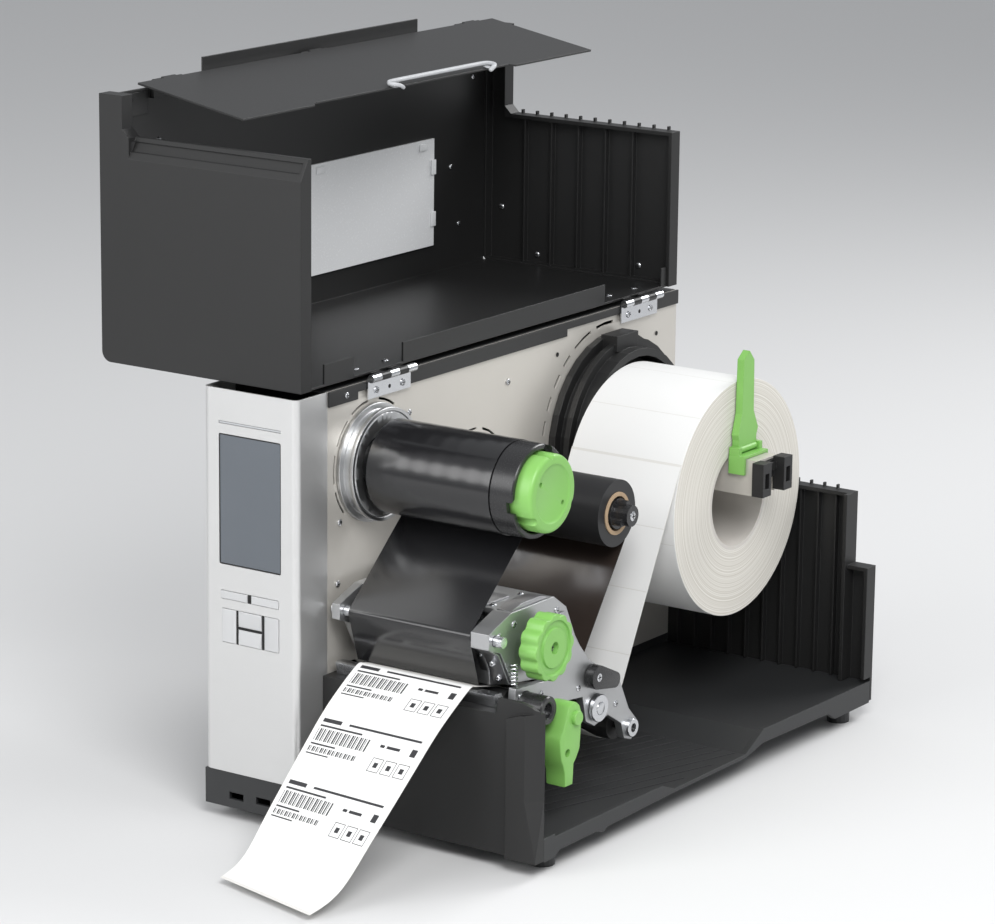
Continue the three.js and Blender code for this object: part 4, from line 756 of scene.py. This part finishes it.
hull = [around(pivot, 9, math.degrees(first + (2 * math.pi - (first - other)) * i / 28)) for i in range(29)]
hull += [around(tip, 6, math.degrees(other + (first - other) * i / 16)) for i in range(17)]
add_slab(bm, hull, 235.4, 242.9, bevel=0.8)
link = piece("pivot_link", bm, satin_black, "chassis", "dark_moulding")
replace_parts(link, "head_pivot_shaft")
bm = bmesh.new()
add_screw(bm, (242.7, *pivot), radius=3.4, height=0.3)
piece("link_screw", bm, steel, "chassis", "polished_steel", parts=[shadow])

# ---- Print head, its frame, springs and screws: die-cast and plated parts ----
# The cast frame has fine-grained flat cheeks with softened edges. Coil springs and a stamped
# cross plate press the head down, held by small bright screws.
cast = coated("die_cast", (0.46, 0.465, 0.47), 0.4, metal=0.9, peel=520.0, depth=0.00008, cloud=0.1, edge=0.0009)
dress(cast, "head_frame", "print_head", "side_plate")


def add_coil(bm, centre, radius, low, high, turns, wire=0.55, index=0):
    """A compression spring standing on z."""
    rings = []
    count = turns * 14
    for i in range(count + 1):
        a = 2 * math.pi * i / 14
        z = low + (high - low) * i / count
        ring = []
        for k in range(6):
            b = 2 * math.pi * k / 6
            r = radius + wire * math.cos(b)
            x, y = centre[0] + r * math.cos(a), centre[1] + r * math.sin(a)
            ring.append(bm.verts.new(at(x, y, z + wire * math.sin(b))))
        rings.append(ring)
    for a, b in zip(rings, rings[1:]):
        for k in range(6):
            bm.faces.new((a[k], a[(k + 1) % 6], b[(k + 1) % 6], b[k])).material_index = index
    bm.faces.new(rings[0]).material_index = index
    bm.faces.new(rings[-1]).material_index = index


bm = bmesh.new()
for x in (124, 157, 190):
    add_coil(bm, (x, 78), 3.6, 139.5, 165.2, 7)
    add_turned(bm, [(138.6, 0), (138.6, 2.2), (165.4, 2.2), (165.4, 0)], (x, 78), axis="z", sides=24)
add_coil(bm, (232.3, 57), 2.6, 116.2, 133, 6)
for x, y, z in [(221, 47.6, 133.5), (221, 55.5, 121), (209, 50, 138)]:
    add_screw(bm, (x, y, z), radius=2.3, height=2.4, axis="y", sign=-1)
for x in (104, 140, 175, 206):
    add_screw(bm, (x, 68, 169.0), radius=3.0, axis="z")
    add_screw(bm, (x, 103, 169.0), radius=2.2, axis="z")
for y, z in [(44, 155), (62, 160), (116, 158), (62, 124), (132, 112)]:
    add_screw(bm, (228.7, y, z), radius=2.6, height=1.0)
piece("head_fasteners", bm, steel, "head", "cast_metal", parts=[shadow])
bm = bmesh.new()
add_slab(bm, [(43.5, 147), (51.5, 131.5), (57, 119), (62, 119.5), (57, 132), (49, 149)], 205.5, 213.0, bevel=0.5)
add_slab(bm, [(34, 147.6), (45.4, 141.6), (53.4, 127.6), (59.4, 116.6), (58.2, 116), (52.2, 127),
              (44.2, 141), (33, 147)], 214.5, 227.5, bevel=0.2)
add_box(bm, 215, 222, 33.5, 45, 149.5, 152, bevel=0.4)
add_slab(bm, [(60, 169.2), (74, 172.4), (98, 172.4), (110, 169.2)], 214.5, 227, bevel=0.6)
add_box(bm, 229.0, 231.6, 88, 124, 150, 156, bevel=0.5)
add_box(bm, 110, 204, 62, 92, 169.05, 170.4, bevel=0.4)
add_box(bm, 150, 164, 56, 62, 160, 170.4, bevel=0.4)
piece("head_plate", bm, plated, "head", "cast_metal", parts=[shadow])

bm = bmesh.new()
for y, z in [(62, 108), (88, 104), (116, 124), (136, 96), (178, 92), (186, 72)]:
    add_screw(bm, (235.0, y, z), radius=2.4, height=1.0)
add_turned(bm, [(235, 3.4), (235, 7), (238, 7), (238.4, 6.6), (238.4, 3.4)], (206, 49), sides=48, closed=True)
piece("side_plate_screws", bm, steel, "chassis", "cast_metal", parts=[shadow])

# ---- Pressure knob and release lever: green mouldings ----
# The knob has twelve soft lobes and a screw deep in its middle. The lever is a faceted tapering
# arm with one hole and a round boss where it swings, and a white follower at its back.
knob_axis, lever_pin = (81, 142), (92, 90)
bm = bmesh.new()
lobed = []
for i in range(240):
    a = 2 * math.pi * i / 240
    r = 24.5 - 1.9 * (0.5 - 0.5 * math.cos(12 * a)) ** 1.6
    lobed.append((knob_axis[0] + r * math.cos(a), knob_axis[1] + r * math.sin(a)))
add_slab(bm, lobed, 236, 251, bevel=1.2, segments=3)
knob = piece("knob_moulding", bm, green, "knob", "green_plastic", smooth=50)
bm = bmesh.new()
add_turned(bm, [(247, 0), (247, 4.5), (252, 4.5), (252, 0)], knob_axis, sides=32)
add_turned(bm, [(249.4, 15), (249.4, 19.5), (252, 20.5), (252, 14)], knob_axis, sides=96, closed=True)
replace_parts(carve(knob, bm), "pressure_knob")
bm = bmesh.new()
add_screw(bm, (247, *knob_axis), radius=3.8, height=1.4)
add_turned(bm, [(213.5, 0), (213.5, 5), (236, 5), (236, 0)], knob_axis, sides=32)
piece("knob_screw", bm, steel, "knob", "polished_steel", parts=[shadow])

bm = bmesh.new()
arm = [(84, 99), (87, 101), (90, 102), (94, 101), (97.5, 98), (99.3, 94), (100, 88), (99.5, 77), (98.5, 66),
       (95, 60.5), (91, 56), (90.6, 48), (90, 41), (80.5, 41), (80, 46), (79.5, 52), (77.5, 57), (75, 62),
       (73.4, 70), (72.5, 77), (74, 80.5), (77, 83)]
add_slab(bm, arm, 245, 262, bevel=1.6, segments=2)
lever = piece("lever_moulding", bm, green, "lever", "green_plastic", smooth=25)
bm = bmesh.new()
add_turned(bm, [(240, 0), (240, 3.9), (263, 3.9), (263, 0)], lever_pin, sides=32)
add_turned(bm, [(252, 0), (252, 3.0), (263, 3.0), (263, 0)], (82.5, 66), sides=32)
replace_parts(carve(lever, bm), "release_lever")
bm = bmesh.new()
add_turned(bm, [(261.5, 3.95), (261.5, 5.4), (264.6, 5.4), (265.2, 4.8), (265.2, 0), (264.3, 0), (264.3, 3.95)],
           lever_pin, sides=48)
piece("lever_boss", bm, green, "lever", "green_plastic")
white = coated("white_moulding", (0.66, 0.655, 0.63), 0.4, peel=1200.0, cloud=0.04, edge=0.0005)
bm = bmesh.new()
add_slab(bm, [(94, 94), (99, 96), (103, 90), (103.5, 72), (100, 62), (97.5, 66), (98.5, 84)], 246, 257, bevel=0.8)
piece("lever_follower", bm, white, "lever", "green_plastic", smooth=25)

# ---- Media holder arm: satin sheet channel with black end pieces ----
# Bent from the same satin sheet as the centre wall, and standing square out from it.
dress(satin_wall, "holder_arm")

# ---- The floor, lights and camera ----
# A plain matt pale floor, three soft round lights, an even surround and a long lens.
floor_paint = bpy.data.materials.new("floor_paint")
floor_paint.use_nodes = True
floor_paint.node_tree.nodes["Principled BSDF"].inputs["Base Color"].default_value = (0.66, 0.66, 0.66, 1)
floor_paint.node_tree.nodes["Principled BSDF"].inputs["Roughness"].default_value = 0.75
bm = bmesh.new()
ground = [bm.verts.new((x, y, 0)) for x, y in ((-8, -8), (8, -8), (8, 8), (-8, 8))]
bm.faces.new(ground)
mesh = bpy.data.meshes.new("floor")
bm.to_mesh(mesh)
bm.free()
mesh.materials.append(floor_paint)
floor = bpy.data.objects.new("floor", mesh)
bpy.context.scene.collection.objects.link(floor)

world = bpy.data.worlds.new("surround")
world.use_nodes = True
world.node_tree.nodes["Background"].inputs["Color"].default_value = (0.9, 0.92, 0.95, 1)
world.node_tree.nodes["Background"].inputs["Strength"].default_value = 0.55
bpy.context.scene.world = world
for name, spot, size, power in [("key_light", (1.4, -1.3, 1.9), 1.4, 52),
                                ("front_light", (-0.7, -2.1, 1.2), 1.6, 26),
                                ("back_light", (0.6, 1.9, 1.8), 1.2, 30)]:
    data = bpy.data.lights.new(name, "AREA")
    data.shape = "DISK"
    data.size = size
    data.energy = power
    lamp = bpy.data.objects.new(name, data)
    lamp.location = spot
    lamp.rotation_mode = "QUATERNION"
    lamp.rotation_quaternion = (Vector((0, 0, 0.25)) - Vector(spot)).to_track_quat("-Z", "Y")
    bpy.context.scene.collection.objects.link(lamp)

bpy.context.scene.view_settings.view_transform = "Standard"
lens = bpy.data.cameras.new("camera")
lens.lens = 146.27
camera = bpy.data.objects.new("camera", lens)
turn, lift, roll_angle = math.radians(34.49), math.radians(13.89), math.radians(0.65)
back = Vector((math.sin(turn) * math.cos(lift), -math.cos(turn) * math.cos(lift), math.sin(lift)))
right = Vector((math.cos(turn), math.sin(turn), 0))
up = back.cross(right)
across = right * math.cos(roll_angle) + up * math.sin(roll_angle)
upward = up * math.cos(roll_angle) - right * math.sin(roll_angle)
facing = Matrix((across, upward, back)).transposed().to_4x4()
camera.matrix_world = Matrix.Translation(at(1765.2, -2197.4, 953.2)) @ facing
bpy.context.scene.collection.objects.link(camera)
bpy.context.scene.camera = camera
